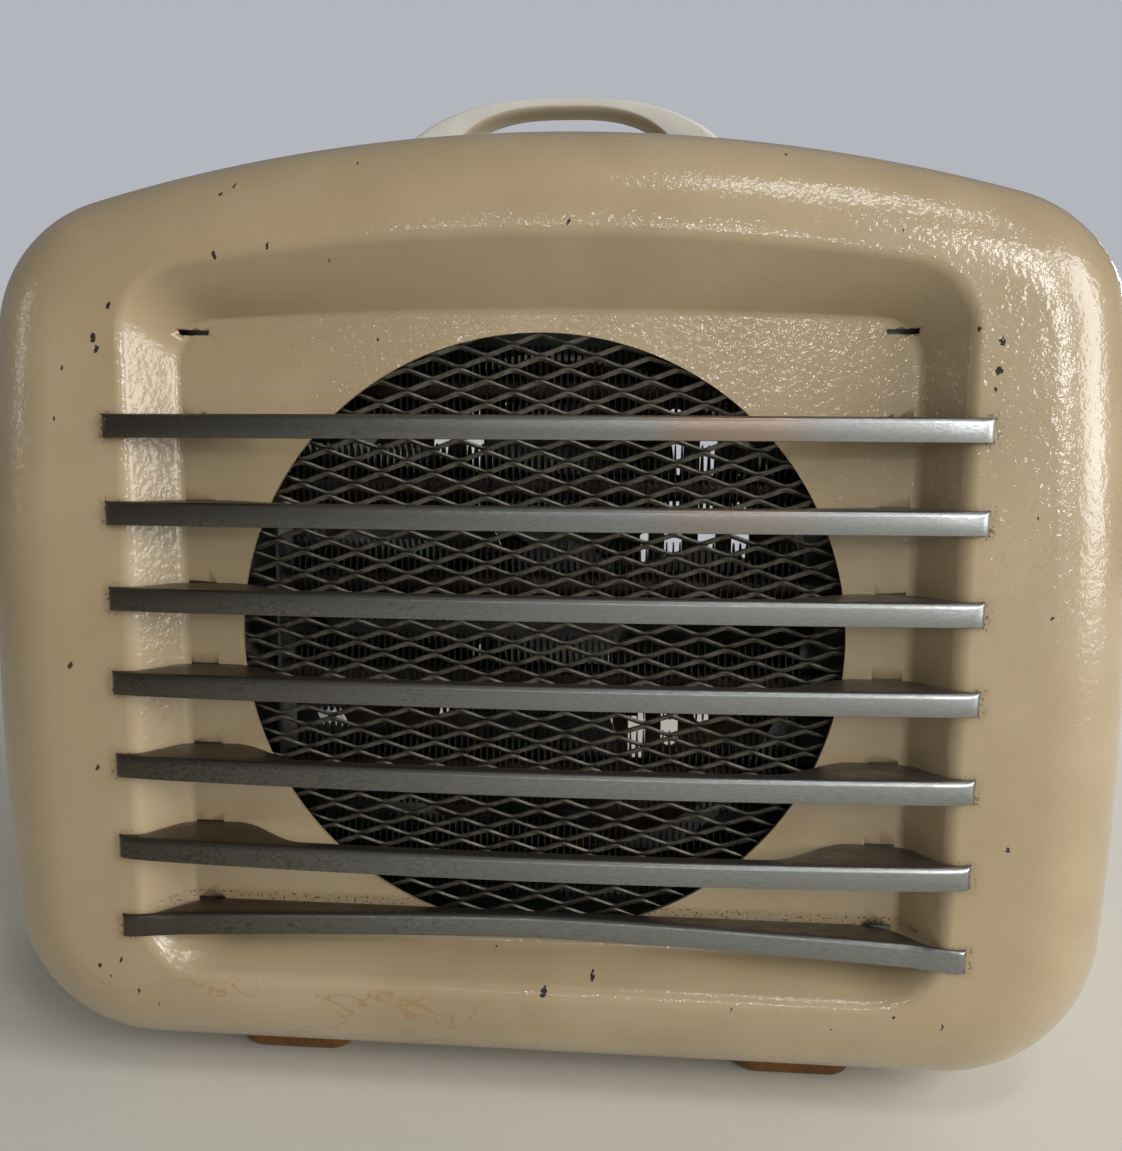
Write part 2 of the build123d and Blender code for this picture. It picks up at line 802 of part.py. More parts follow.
with BuildPart() as paddle:
    pitched = Plane.YZ.rotated((blade_pitch_angle, 0, 0))
    with BuildSketch(pitched):
        with Locations((blade_camber_radius, 0)):
            Circle(blade_camber_radius)
            Circle(blade_camber_radius - fan_gauge, mode=Mode.SUBTRACT)
        Rectangle(2 * blade_round, blade_cut, mode=Mode.INTERSECT)
    extrude(amount=fan_radius)
    with BuildSketch(Plane.XZ):
        with Locations((blade_place, 0)):
            Circle(blade_round)
    extrude(amount=blade_cut, both=True, mode=Mode.INTERSECT)

with BuildPart() as fan_wheel:
    for number in range(blade_count):
        turned = paddle.part.rotate(Axis.Y, -fan_start_angle - 360 * number / blade_count)
        add(turned.moved(Location((0, fan_y, axis_height))))
    with BuildSketch(facing(fan_y)):
        Circle(fan_disc_radius)
    extrude(amount=-fan_disc_gauge)
    with BuildSketch(facing(fan_y)):
        Circle(hub_radius + fit_clearance)
    extrude(amount=blade_cut, both=True, mode=Mode.SUBTRACT)
save(fan_wheel, "fan_blades")

hub_y = fan_y - hub_flange_thickness
with BuildPart() as fan_hub:
    with BuildSketch(facing(hub_y)):
        Circle(hub_flange)
    extrude(amount=-hub_flange_thickness)
    with BuildSketch(facing(hub_y)):
        Circle(hub_radius)
    extrude(amount=-hub_length)
    with BuildSketch(facing(hub_y)):
        Circle(shaft_radius + fit_clearance)
    extrude(amount=-hub_length, mode=Mode.SUBTRACT)
    with BuildSketch(Plane.XY.offset(axis_height)):
        with Locations((0, hub_y + hub_length - hub_radius / 2)):
            Circle(hub_screw_radius + fit_clearance)
    extrude(amount=2 * hub_radius, mode=Mode.SUBTRACT)
save(fan_hub, "fan_hub")

with BuildPart() as hub_screw:
    with BuildSketch(Plane.XY.offset(axis_height + shaft_radius + fit_clearance)):
        with Locations((0, hub_y + hub_length - hub_radius / 2)):
            Circle(hub_screw_radius)
    extrude(amount=hub_radius - shaft_radius)
save(hub_screw, "hub_screw")

with BuildPart() as motor_shaft:
    with BuildSketch(facing(hub_y - shaft_nose)):
        Circle(shaft_radius)
    extrude(amount=-(rear_bearing_y + bearing_length / 2 + shaft_tail - hub_y + shaft_nose))
    chamfer(motor_shaft.edges().group_by(Axis.Y)[0], shaft_chamfer)
save(motor_shaft, "motor_shaft")

with BuildPart() as motor_rotor:
    with BuildSketch(facing(stack_y)):
        Circle(rotor_radius)
    extrude(amount=-stack_length)
    with BuildSketch(facing(stack_y - end_ring)):
        Circle(rotor_radius - end_ring / 2)
    extrude(amount=-(stack_length + 2 * end_ring))
    with BuildSketch(facing(stack_y - end_ring)):
        Circle(shaft_radius + fit_clearance)
    extrude(amount=-(stack_length + 2 * end_ring), mode=Mode.SUBTRACT)
save(motor_rotor, "motor_rotor")


# Motor bracket: a strap bridged across the shroud, with rubber grommets for the motor
with BuildPart() as motor_strap:
    with BuildSketch(across.offset(-strap_width / 2)):
        foot_middle = shroud_back_y + strap_gauge / 2
        strap_middle = strap_y + strap_gauge / 2
        with BuildLine():
            FilletPolyline((-strap_foot_end, foot_middle), (-strap_leg, foot_middle),
                           (-strap_leg, strap_middle), (strap_leg, strap_middle),
                           (strap_leg, foot_middle), (strap_foot_end, foot_middle), radius=strap_bend)
        trace(line_width=strap_gauge)
    extrude(amount=strap_width)
    with BuildSketch(facing(strap_y)):
        Circle(strap_hole)
        with Locations(*bolt_places):
            Circle(grommet_neck + fit_clearance)
    extrude(amount=-strap_gauge, mode=Mode.SUBTRACT)
    with BuildSketch(facing(shroud_back_y)):
        with Locations(*strap_screw_places):
            Circle(screw_radius + fit_clearance)
    extrude(amount=-strap_gauge, mode=Mode.SUBTRACT)
save(motor_strap, "motor_strap")
save(copies(plate_screw, [rear_seat(place, shroud_back_y + strap_gauge) for place in strap_screw_places]),
     "strap_screws")

with BuildPart() as motor_grommets:
    for y, radius, length in ((strap_y - grommet_flange, grommet_radius, grommet_flange),
                              (strap_y, grommet_neck, strap_gauge),
                              (strap_y + strap_gauge, grommet_radius, grommet_flange)):
        with BuildSketch(facing(y)):
            with Locations(*bolt_places):
                Circle(radius)
        extrude(amount=-length)
    with BuildSketch(facing(strap_y - grommet_flange)):
        with Locations(*bolt_places):
            Circle(bolt_radius + fit_clearance)
    extrude(amount=-(strap_gauge + 2 * grommet_flange), mode=Mode.SUBTRACT)
save(motor_grommets, "motor_grommets")


# Motor: a C-frame stack with one coil, between two die-cast bearing brackets
def bearing_casting(bar_y, pillar_y, boss_y, bearing_y, open_side):
    """A bar with two pillars and a boss. The bearing's round seat opens to the given side."""
    with BuildPart() as casting:
        with BuildSketch(facing(bar_y)):
            SlotCenterToCenter(2 * bolt_offset, casting_bar_height)
        extrude(amount=-casting_bar)
        with BuildSketch(facing(pillar_y)):
            with Locations(*bolt_places):
                Circle(casting_pillar_radius)
        extrude(amount=-casting_pillar)
        with BuildSketch(facing(boss_y)):
            Circle(boss_radius)
        extrude(amount=-boss_length)
        with BuildSketch(facing(min(bar_y, pillar_y))):
            with Locations(*bolt_places):
                Circle(bolt_radius + fit_clearance)
        extrude(amount=-(casting_bar + casting_pillar), mode=Mode.SUBTRACT)
        seat = front_seat((0, 0), bearing_y)
        with Locations(seat):
            Sphere(bearing_sphere + fit_clearance, mode=Mode.SUBTRACT)
        with BuildSketch(seat):
            Circle(bearing_sphere + fit_clearance)
        extrude(amount=-open_side * boss_length, mode=Mode.SUBTRACT)
        with BuildSketch(facing(boss_y)):
            Circle(shaft_radius + boss_bore_clearance)
        extrude(amount=-boss_length, mode=Mode.SUBTRACT)
    return casting


save(bearing_casting(casting_y, casting_y + casting_bar, front_boss_y, front_bearing_y, 1),
     "front_casting")
save(bearing_casting(rear_casting_y, rear_casting_y - casting_pillar, rear_boss_y, rear_bearing_y, -1),
     "rear_casting")

for name, y in (("bearing_front", front_bearing_y), ("bearing_rear", rear_bearing_y)):
    with BuildPart() as bearing:
        with Locations(front_seat((0, 0), y)):
            Sphere(bearing_sphere)
            Cylinder(bearing_sphere, bearing_length, mode=Mode.INTERSECT)
            Cylinder(shaft_radius + running_clearance, bearing_length, mode=Mode.SUBTRACT)
    save(bearing, name)

with BuildPart() as motor_stack:
    with BuildSketch(facing(stack_y)):
        with Locations((0, (stack_top - stack_bottom) / 2)):
            Rectangle(stack_width, stack_top + stack_bottom)
        Circle(rotor_radius + air_gap, mode=Mode.SUBTRACT)
        with Locations((0, limb_height - stack_bottom)):
            Rectangle(2 * window_half_width, window_height, align=(Align.CENTER, Align.MIN),
                      mode=Mode.SUBTRACT)
        with Locations(*bolt_places):
            Circle(bolt_radius + fit_clearance, mode=Mode.SUBTRACT)
    extrude(amount=-stack_length)
save(motor_stack, "motor_stack")

limb_plane = Plane(origin=(0, stack_y + stack_length / 2, axis_height - stack_bottom + limb_height / 2),
                   x_dir=(0, 1, 0), z_dir=(1, 0, 0))
tube = coil_wall + fit_clearance


def limb_ring(half_length, outside, inside):
    """A rectangular ring round the stack's lower limb."""
    with BuildPart() as ring:
        with BuildSketch(limb_plane):
            RectangleRounded(stack_length + 2 * outside, limb_height + 2 * outside, coil_wall)
            Rectangle(stack_length + 2 * inside, limb_height + 2 * inside, mode=Mode.SUBTRACT)
        extrude(amount=half_length, both=True)
    return ring.part


with BuildPart() as coil_bobbin:
    add(limb_ring(coil_half_length, tube, fit_clearance))
    for side in (-1, 1):
        with BuildSketch(limb_plane.offset(side * coil_half_length)):
            Rectangle(stack_length + 2 * coil_build, limb_height + 2 * coil_build)
            Rectangle(stack_length + 2 * fit_clearance, limb_height + 2 * fit_clearance, mode=Mode.SUBTRACT)
        extrude(amount=-side * coil_flange)
save(coil_bobbin, "coil_bobbin")

with BuildPart() as motor_coil:
    add(limb_ring(coil_half_length - coil_flange - fit_clearance, coil_build - coil_wall,
                  tube + fit_clearance))
save(motor_coil, "motor_coil")

motor_bolt = headed_screw(bolt_radius, motor_bolt_length, nut_radius, screw_head_height, hexagon=True)
save(copies(motor_bolt, [front_seat(place, strap_y - grommet_flange) for place in bolt_places]),
     "motor_bolts")
save(copies(nut, [rear_seat(place, rear_casting_y + casting_bar) for place in bolt_places]), "motor_nuts")


# Handle: a cast crescent that is thin in the middle and broad at its feet
def handle_edge_line(apex, bow, shoulder, foot, bend):
    """The area under one edge of a crescent: a flat bow, round shoulders and straight legs."""
    with BuildSketch() as half:
        with BuildLine():
            shoulder_height = apex - bow + sqrt(bow ** 2 - shoulder ** 2)
            crown = ThreePointArc((0, apex), (shoulder / 2, apex - bow + sqrt(bow ** 2 - shoulder ** 2 / 4)),
                                  (shoulder, shoulder_height))
            Polyline(crown @ 1, (foot, handle_root), (0, handle_root), crown @ 0)
        make_face()
        fillet(half.vertices().sort_by_distance((shoulder, shoulder_height, 0))[0], bend)
        mirror(about=Plane.YZ)
    return half.sketch


with BuildPart() as handle:
    with BuildSketch(facing(handle_y)):
        add(handle_edge_line(handle_top, handle_top_bow, handle_shoulder, handle_foot,
                             handle_shoulder_round))
        add(handle_edge_line(handle_top - handle_thickness, grip_bow, grip_shoulder, grip_foot, grip_round),
            mode=Mode.SUBTRACT)
    extrude(amount=handle_depth / 2, both=True)
    fillet(handle.faces().filter_by(Axis.Y).edges().filter_by(GeomType.LINE, reverse=True), handle_edge)
    add(case_body.moved(Location((0, 0, fit_clearance))), mode=Mode.SUBTRACT)
    for plane in crown_seats:
        with BuildSketch(plane):
            Circle(handle_screw_radius + fit_clearance)
        extrude(amount=-(handle_screw_length + fit_clearance), mode=Mode.SUBTRACT)
save(handle, "handle")
handle_screw = headed_screw(handle_screw_radius, handle_screw_length, nut_radius, screw_head_height,
                            hexagon=True)
save(copies(handle_screw, crown_seats), "handle_screws")


# Feet: moulded rubber blocks, each held by a screw and a nut
def foot_outline(middle, width):
    """A foot seen from one side: flat on top, with round lower edges."""
    with BuildSketch() as outline:
        with Locations((middle, foot_height / 2)):
            Rectangle(width, foot_height)
        fillet(outline.vertices().group_by(Axis.Y)[0], foot_round)
    return outline.sketch


for name, place in zip(("front_left", "front_right", "rear_left", "rear_right"), foot_places):
    with BuildPart() as foot:
        with BuildSketch():
            with Locations(place):
                RectangleRounded(foot_width, foot_depth, foot_corner)
        extrude(amount=foot_height)
        with BuildSketch(Plane.XZ):
            add(foot_outline(place[0], foot_width))
        extrude(amount=case_depth, both=True, mode=Mode.INTERSECT)
        with BuildSketch(Plane.YZ):
            add(foot_outline(place[1], foot_depth))
        extrude(amount=case_width, both=True, mode=Mode.INTERSECT)
        with BuildSketch():
            with Locations(place):
                Circle(foot_well_radius)
        extrude(amount=foot_well_depth, mode=Mode.SUBTRACT)
        with BuildSketch():
            with Locations(place):
                Circle(screw_radius + fit_clearance)
        extrude(amount=foot_height, mode=Mode.SUBTRACT)
    save(foot, f"foot_{name}")

foot_screw = headed_screw(screw_radius, foot_screw_length, screw_head_radius, screw_head_height)
save(copies(foot_screw, [Plane(origin=(*place, foot_well_depth), z_dir=(0, 0, -1)) for place in foot_places]),
     "foot_screws")
save(copies(nut, [Plane(origin=(*place, base_height + case_gauge)) for place in foot_places]), "foot_nuts")


# Rear cover: flat sheet with a round dished field of air slots
cover_back_y = rear_y + cover_gauge


def dish(radius, y):
    """A blunt cone with its base at depth y."""
    with BuildPart() as cone:
        with BuildSketch(across):
            Polygon((0, y), (radius, y), (radius - dish_slope, y + dish_depth), (0, y + dish_depth),
                    align=None)
        revolve(axis=fan_axis)
    return cone.part


def slot_run(x):
    """Length of one slot in a column: from the bridge in the middle to the edge of the field."""
    return sqrt(slot_field_radius ** 2 - x ** 2) - slot_bridge / 2


slot_columns_x = [slot_pitch * (k - (slot_columns - 1) / 2) for k in range(slot_columns)]

with BuildPart() as rear_cover:
    with BuildSketch(facing(cover_back_y)):
        case_outline(cover_inset)
    extrude(amount=cover_gauge)
    add(dish(dish_radius, cover_back_y))
    wall_shift = cover_gauge * (hypot(dish_slope, dish_depth) - dish_slope) / dish_depth
    add(dish(dish_radius - wall_shift, rear_y), mode=Mode.SUBTRACT)
    with BuildSketch(facing(rear_y)):
        for x in slot_columns_x:
            for side in (-1, 1):
                with Locations((x, side * (slot_bridge + slot_run(x)) / 2)):
                    SlotOverall(slot_run(x), slot_width, rotation=90)
        with Locations(*cover_screw_places):
            Circle(screw_radius + fit_clearance)
        with Locations(*inlet_screw_places):
            Circle(small_screw_radius + fit_clearance)
        with Locations(switch_place):
            Circle(bushing_radius + fit_clearance)
        with Locations(inlet_place):
            RectangleRounded(inlet_width + 2 * fit_clearance, inlet_height + 2 * fit_clearance, inlet_wall)
    extrude(amount=-(dish_depth + 2 * cover_gauge), mode=Mode.SUBTRACT)
save(rear_cover, "rear_cover")
cover_screw = headed_screw(screw_radius, screw_length, screw_head_radius, screw_head_height)
save(copies(cover_screw, [rear_seat(place, cover_back_y) for place in cover_screw_places]), "cover_screws")


# Rotary switch with its knob, low on the right of the cover
switch_seat = front_seat(switch_place, rear_y)
with BuildPart() as switch_body:
    with BuildSketch(switch_seat):
        Circle(switch_radius)
    extrude(amount=switch_depth)
    with BuildSketch(switch_seat):
        Circle(bushing_radius)
    extrude(amount=-bushing_length)
    with BuildSketch(switch_seat.offset(-bushing_length)):
        Circle(spindle_radius + running_clearance)
    extrude(amount=bushing_length + spindle_depth, mode=Mode.SUBTRACT)
    with BuildSketch(switch_seat.offset(switch_depth)):
        with PolarLocations(switch_terminal_radius, switch_terminals):
            Rectangle(terminal_blade, blade_gauge)
    extrude(amount=terminal_blade)
save(switch_body, "switch_body")

switch_hex = hex_nut(bushing_radius, switch_nut_radius, switch_nut_height)
save(copies(switch_hex, [rear_seat(switch_place, cover_back_y)]), "switch_nut")

knob_y = cover_back_y + knob_gap
knob_seat = rear_seat(switch_place, knob_y)
with BuildPart() as switch_knob:
    with BuildSketch(knob_seat):
        Circle(knob_radius)
    extrude(amount=knob_skirt)
    with BuildSketch(knob_seat.offset(knob_skirt)):
        RectangleRounded(knob_grip, knob_grip_length, knob_grip_corner)
    extrude(amount=knob_depth - knob_skirt)
    fillet(switch_knob.faces().sort_by(Axis.Y)[-1].edges(), knob_edge)
    with BuildSketch(knob_seat):
        Circle(knob_cavity_radius)
    extrude(amount=knob_cavity_depth, mode=Mode.SUBTRACT)
    with BuildSketch(knob_seat):
        Circle(spindle_radius + fit_clearance)
    extrude(amount=knob_spindle_depth + fit_clearance, mode=Mode.SUBTRACT)
save(switch_knob, "switch_knob")

with BuildPart() as switch_spindle:
    with BuildSketch(switch_seat.offset(spindle_depth - fit_clearance)):
        Circle(spindle_radius)
    extrude(amount=-(spindle_depth - fit_clearance + knob_y - rear_y + knob_spindle_depth))
save(switch_spindle, "switch_spindle")


# Appliance inlet with two round pins, low on the left of the cover
inlet_seat = rear_seat(inlet_place, cover_back_y)
with BuildPart() as inlet_body:
    with BuildSketch(inlet_seat):
        RectangleRounded(inlet_width, inlet_height, inlet_wall)
    extrude(amount=-(inlet_depth - inlet_flange_thickness))
    with BuildSketch(inlet_seat):
        RectangleRounded(inlet_width + 2 * inlet_ear, inlet_height + 2 * inlet_rim, 2 * inlet_wall)
    extrude(amount=inlet_flange_thickness)
    with BuildSketch(inlet_seat.offset(inlet_flange_thickness)):
        RectangleRounded(inlet_width - 2 * inlet_wall, inlet_height - 2 * inlet_wall, inlet_wall)
    extrude(amount=-(inlet_depth - inlet_wall), mode=Mode.SUBTRACT)
    with BuildSketch(inlet_seat.offset(inlet_flange_thickness)):
        with GridLocations(2 * inlet_screw_offset, 0, 2, 1):
            Circle(small_screw_radius + fit_clearance)
    extrude(amount=-2 * inlet_flange_thickness, mode=Mode.SUBTRACT)
    with BuildSketch(inlet_seat.offset(inlet_flange_thickness)):
        with GridLocations(pin_spacing, 0, 2, 1):
            Circle(pin_root_radius + fit_clearance)
    extrude(amount=-inlet_depth, mode=Mode.SUBTRACT)
save(inlet_body, "inlet_body")

pin_floor = inlet_flange_thickness - inlet_depth + inlet_wall
with BuildPart() as inlet_pins:
    with BuildSketch(inlet_seat.offset(pin_floor)):
        with GridLocations(pin_spacing, 0, 2, 1):
            Circle(pin_radius)
    extrude(amount=pin_length)
    chamfer(inlet_pins.edges().group_by(Axis.Y)[-1], pin_chamfer)
    with BuildSketch(inlet_seat.offset(pin_floor)):
        with GridLocations(pin_spacing, 0, 2, 1):
            Circle(pin_root_radius)
    extrude(amount=-(inlet_wall + pin_tail))
save(inlet_pins, "inlet_pins")
save(copies(small_screw, [rear_seat(place, cover_back_y + inlet_flange_thickness)
                          for place in inlet_screw_places]), "inlet_screws")
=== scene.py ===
"""Fan heater with a drawn steel case: its finishes and its modelled shells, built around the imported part."""

import math
from functools import partial

import bmesh
import bpy
import numpy as np
from mathutils import Matrix, Vector


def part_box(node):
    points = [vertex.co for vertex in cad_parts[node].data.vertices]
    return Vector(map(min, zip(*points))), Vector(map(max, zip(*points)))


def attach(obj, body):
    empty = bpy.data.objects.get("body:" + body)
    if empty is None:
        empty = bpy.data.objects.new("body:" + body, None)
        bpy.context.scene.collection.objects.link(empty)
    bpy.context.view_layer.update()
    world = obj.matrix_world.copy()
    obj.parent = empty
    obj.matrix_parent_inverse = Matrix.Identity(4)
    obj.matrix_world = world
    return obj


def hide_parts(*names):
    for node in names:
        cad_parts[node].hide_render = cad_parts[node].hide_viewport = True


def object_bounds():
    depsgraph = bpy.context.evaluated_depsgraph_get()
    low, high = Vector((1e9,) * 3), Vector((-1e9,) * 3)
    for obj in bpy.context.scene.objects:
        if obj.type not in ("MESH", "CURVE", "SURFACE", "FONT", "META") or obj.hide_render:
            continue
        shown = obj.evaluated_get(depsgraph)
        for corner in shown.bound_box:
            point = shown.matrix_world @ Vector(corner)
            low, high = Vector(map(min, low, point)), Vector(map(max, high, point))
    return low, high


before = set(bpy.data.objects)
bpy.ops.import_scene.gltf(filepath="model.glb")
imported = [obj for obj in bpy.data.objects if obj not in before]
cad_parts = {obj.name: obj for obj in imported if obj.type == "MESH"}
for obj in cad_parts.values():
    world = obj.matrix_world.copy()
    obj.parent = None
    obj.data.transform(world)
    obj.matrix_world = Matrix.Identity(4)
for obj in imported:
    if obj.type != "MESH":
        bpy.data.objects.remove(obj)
cad_low, cad_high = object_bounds()

bl_info = {
    "name": "Fan heater",
    "version": (1, 0, 0),
    "blender": (4, 5, 0),
    "location": "3D View > Sidebar > Heater",
    "description": "Case, louvre bars, mesh, elements, handle and feet of a fan heater of about 1950",
    "category": "Add Mesh",
}

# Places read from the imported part, in metres
MM = 0.001
case_low, case_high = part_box("case_shell")
mesh_low, mesh_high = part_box("outlet_mesh")
seal_low, seal_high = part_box("outlet_seal")
nuts_low, nuts_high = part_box("box_nuts")
handle_low, handle_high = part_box("handle")
bar_names = [f"louvre_bar_{number}" for number in range(1, 8)]
element_names = [f"heating_element_{number}" for number in range(1, 4)]
foot_names = ["foot_front_left", "foot_front_right", "foot_rear_left", "foot_rear_right"]
axis_z = (mesh_low.z + mesh_high.z) / 2
rim_y, rear_y = case_low.y, case_high.y
half_width = case_high.x
crown = case_high.z - axis_z
base = case_low.z - axis_z


def linear(hex_colour):
    """An sRGB hex colour as the linear values that Blender works in."""
    values = np.array([int(hex_colour[k:k + 2], 16) / 255 for k in (1, 3, 5)])
    curve = np.where(values <= 0.04045, values / 12.92, ((values + 0.055) / 1.055) ** 2.4)
    return tuple(float(value) for value in curve)


def size(name, default, description):
    """A length in metres that a user can change."""
    return bpy.props.FloatProperty(name=name, default=default, description=description,
                                   subtype="DISTANCE", unit="LENGTH", precision=4)


def colour(name, default, description):
    """A surface colour that a user can change."""
    return bpy.props.FloatVectorProperty(name=name, default=linear(default), description=description,
                                         subtype="COLOR", size=3, min=0, max=1)


# What the camera sees past the heater, and what the floor fades into
backdrop = linear("#B4B6BD")


class HeaterCaseSettings(bpy.types.PropertyGroup):
    side_bow: size("Side bow", 1.110, "Radius of the bowed sides, seen from the front")
    crown_bow: size("Crown bow", 0.527, "Radius of the arched crown")
    widest: size("Widest place", 0.120, "Height above the base where the case is widest")
    top_corner: size("Top corner", 0.046, "Radius of the two upper corners")
    bottom_corner: size("Bottom corner", 0.051, "Radius of the two lower corners")
    front_roll: size("Front roll", 0.032, "Radius of the roll from the sides to the front")
    rear_roll: size("Rear roll", 0.016, "Radius of the roll from the sides to the back")
    rear_flange: size("Rear flange", 0.014, "Width of the flange that carries the rear cover")
    gauge: size("Sheet gauge", 0.0012, "Thickness of the drawn sheet")
    recess: size("Recess depth", 0.014, "Depth of the sunk front panel")
    rim_width: size("Rim width", 0.2432, "Width of the recess at its rim")
    rim_top: size("Rim top", 0.1184, "Height of the recess's rim above the outlet's centre")
    rim_bottom: size("Rim bottom", 0.1055, "Depth of the recess's rim below the outlet's centre")
    rim_arch: size("Rim arch", 0.668, "Radius of the rim's arched top edge")
    rim_corner: size("Rim corner", 0.020, "Radius of the rim's corners")
    panel_width: size("Panel width", 0.222, "Width of the sunk panel")
    panel_top: size("Panel top", 0.0987, "Height of the panel above the outlet's centre")
    panel_bottom: size("Panel bottom", 0.097, "Depth of the panel below the outlet's centre")
    panel_arch: size("Panel arch", 2.0, "Radius of the panel's arched top edge")
    panel_corner: size("Panel corner", 0.014, "Radius of the panel's corners")
    lip: size("Lip radius", 0.006, "Radius of the recess's outer edge")
    floor: size("Floor radius", 0.004, "Radius where the sloping wall meets the panel")
    outlet: size("Outlet radius", 0.0925, "Radius of the round air outlet")


class HeaterBarSettings(bpy.types.PropertyGroup):
    pitch: size("Pitch", 0.0256, "Height from one louvre bar to the next")
    half_length: size("Half length", 0.1275, "Half of a bar's length")
    face: size("Face", 0.007, "Height of a bar's front face")
    gauge: size("Gauge", 0.0012, "Thickness of the aluminium strip")
    edge: size("Edge radius", 0.0018, "Radius of the bend between face and flange")
    curl: size("Tip radius", 0.0022, "Radius of the rounded tips")
    turn_in: size("Turned end", 0.0008, "How far a bar's face turns in towards its tips")
    crown_stand: size("Crown stand", 0.0075, "How far a bar's middle stands out from the rim")
    end_stand: size("End stand", 0.0028, "How far a bar's ends stand out from the rim")
    flange: size("Flange", 0.005, "Depth of the flange in front of the outlet")
    tab_place: size("Tab place", 0.105, "Distance of the tabs from the middle")
    tab_length: size("Tab length", 0.0085, "Length of a tab and of its slot")


class HeaterMeshSettings(bpy.types.PropertyGroup):
    long_way: size("Long way", 0.0164, "Length of one diamond of the expanded mesh")
    short_way: size("Short way", 0.0070, "Height of one diamond of the expanded mesh")
    strand: size("Strand width", 0.0015, "Width of a strand")
    gauge: size("Gauge", 0.0008, "Thickness of the sheet that was expanded")
    fin_pitch: size("Fin pitch", 0.0021, "Distance between two fins of a heating element")
    fin_height: size("Fin height", 0.0274, "Height of the oval crimped fins")
    fin_depth: size("Fin depth", 0.0115, "Depth of the oval crimped fins")
    fin_gauge: size("Fin gauge", 0.0004, "Thickness of a fin")
    sheath: size("Sheath radius", 0.00425, "Radius of the element's steel sheath")


class HeaterHandleSettings(bpy.types.PropertyGroup):
    root: size("Root height", 0.138, "Height above the outlet's centre where the legs are broadest")
    outer_reach: size("Outer reach", 0.0705, "Half width of the outer curve at its root")
    inner_reach: size("Inner reach", 0.0485, "Half width of the inner curve at its root")
    face: size("Face", 0.0026, "Height of the front face at the top")
    belly: size("Belly", 0.0026, "How far the grip's underside bulges below the front face")
    grip_depth: size("Grip depth", 0.0135, "Depth of the grip, from front to back, at the top")
    leg_depth: size("Leg depth", 0.020, "Depth of the legs where they meet the crown")


class HeaterColourSettings(bpy.types.PropertyGroup):
    enamel: colour("Enamel", "#A99676", "Cream stove enamel of the case")
    moulding: colour("Handle", "#C4C2B9", "Pale cream of the handle")
    aluminium: colour("Aluminium", "#979998", "Worn aluminium of the louvre bars")
    mesh: colour("Mesh", "#7D796F", "Dull steel of the mesh")
    rubber: colour("Rubber", "#70481C", "Brown rubber of the feet")
    ground: colour("Floor", "#D6D3C8", "Pale floor of the stage")


# Shapes


def add_surface(name, points, close_rows=False, close_columns=False, sharp=50.0):
    """Meshes a grid of points, or several grids of one size, and merges points that coincide.

    A grid's first index runs along its rows and its second across them. Faces that meet at
    more than the sharp angle, in degrees, keep a crisp edge."""
    grids = points.reshape((-1,) + points.shape[-3:])
    count, rows, columns = grids.shape[:3]
    index = np.arange(count * rows * columns).reshape(count, rows, columns)
    if close_rows:
        index = np.concatenate([index, index[:, :1]], 1)
    if close_columns:
        index = np.concatenate([index, index[:, :, :1]], 2)
    quads = np.stack([index[:, :-1, :-1], index[:, :-1, 1:], index[:, 1:, 1:], index[:, 1:, :-1]], -1)
    quads = quads.reshape(-1, 4).astype(np.int32)
    mesh = bpy.data.meshes.new(name)
    mesh.vertices.add(index.max() + 1)
    mesh.vertices.foreach_set("co", grids.astype(np.float32).ravel())
    mesh.loops.add(quads.size)
    mesh.loops.foreach_set("vertex_index", quads.ravel())
    mesh.polygons.add(len(quads))
    mesh.polygons.foreach_set("loop_start", np.arange(0, quads.size, 4, dtype=np.int32))
    mesh.update(calc_edges=True)
    return add_piece(name, mesh, sharp)


def add_piece(name, mesh, sharp=50.0):
    """Merges doubles, turns the faces outwards, smooths the shading and links the piece."""
    cleaned = bmesh.new()
    cleaned.from_mesh(mesh)
    bmesh.ops.remove_doubles(cleaned, verts=cleaned.verts, dist=2e-6)
    bmesh.ops.recalc_face_normals(cleaned, faces=cleaned.faces)
    cleaned.to_mesh(mesh)
    cleaned.free()
    mesh.shade_smooth()
    mesh.set_sharp_from_angle(angle=math.radians(sharp))
    piece = bpy.data.objects.new(name, mesh)
    bpy.context.scene.collection.objects.link(piece)
    return piece


def prisms(profile, starts, ends):
    """Vertices and faces of straight prisms: one closed outline, repeated between pairs of places."""
    corners = len(profile)
    outline = np.asarray(profile)
    vertices, faces = [], []
    for start, end in zip(starts, ends):
        first = len(vertices) * corners
        vertices += [outline + start, outline + end]
        near, far = np.arange(corners) + first, np.arange(corners) + first + corners
        faces += [near[::-1].tolist(), far.tolist()]
        faces += np.stack([near, np.roll(near, -1), np.roll(far, -1), far], -1).tolist()
    return np.concatenate(vertices), faces


def add_prisms(name, profile, starts, ends):
    """Makes the prisms into one piece."""
    vertices, faces = prisms(profile, starts, ends)
    mesh = bpy.data.meshes.new(name)
    mesh.from_pydata(vertices.tolist(), [], faces)
    return add_piece(name, mesh, 30.0)


def arc(centre, radius, start, end, count):
    """Points on a circle from one angle to another, and the outward normals there."""
    angle = np.linspace(start, end, count)
    normal = np.stack([np.cos(angle), np.sin(angle)], -1)
    return np.asarray(centre) + radius * normal, normal


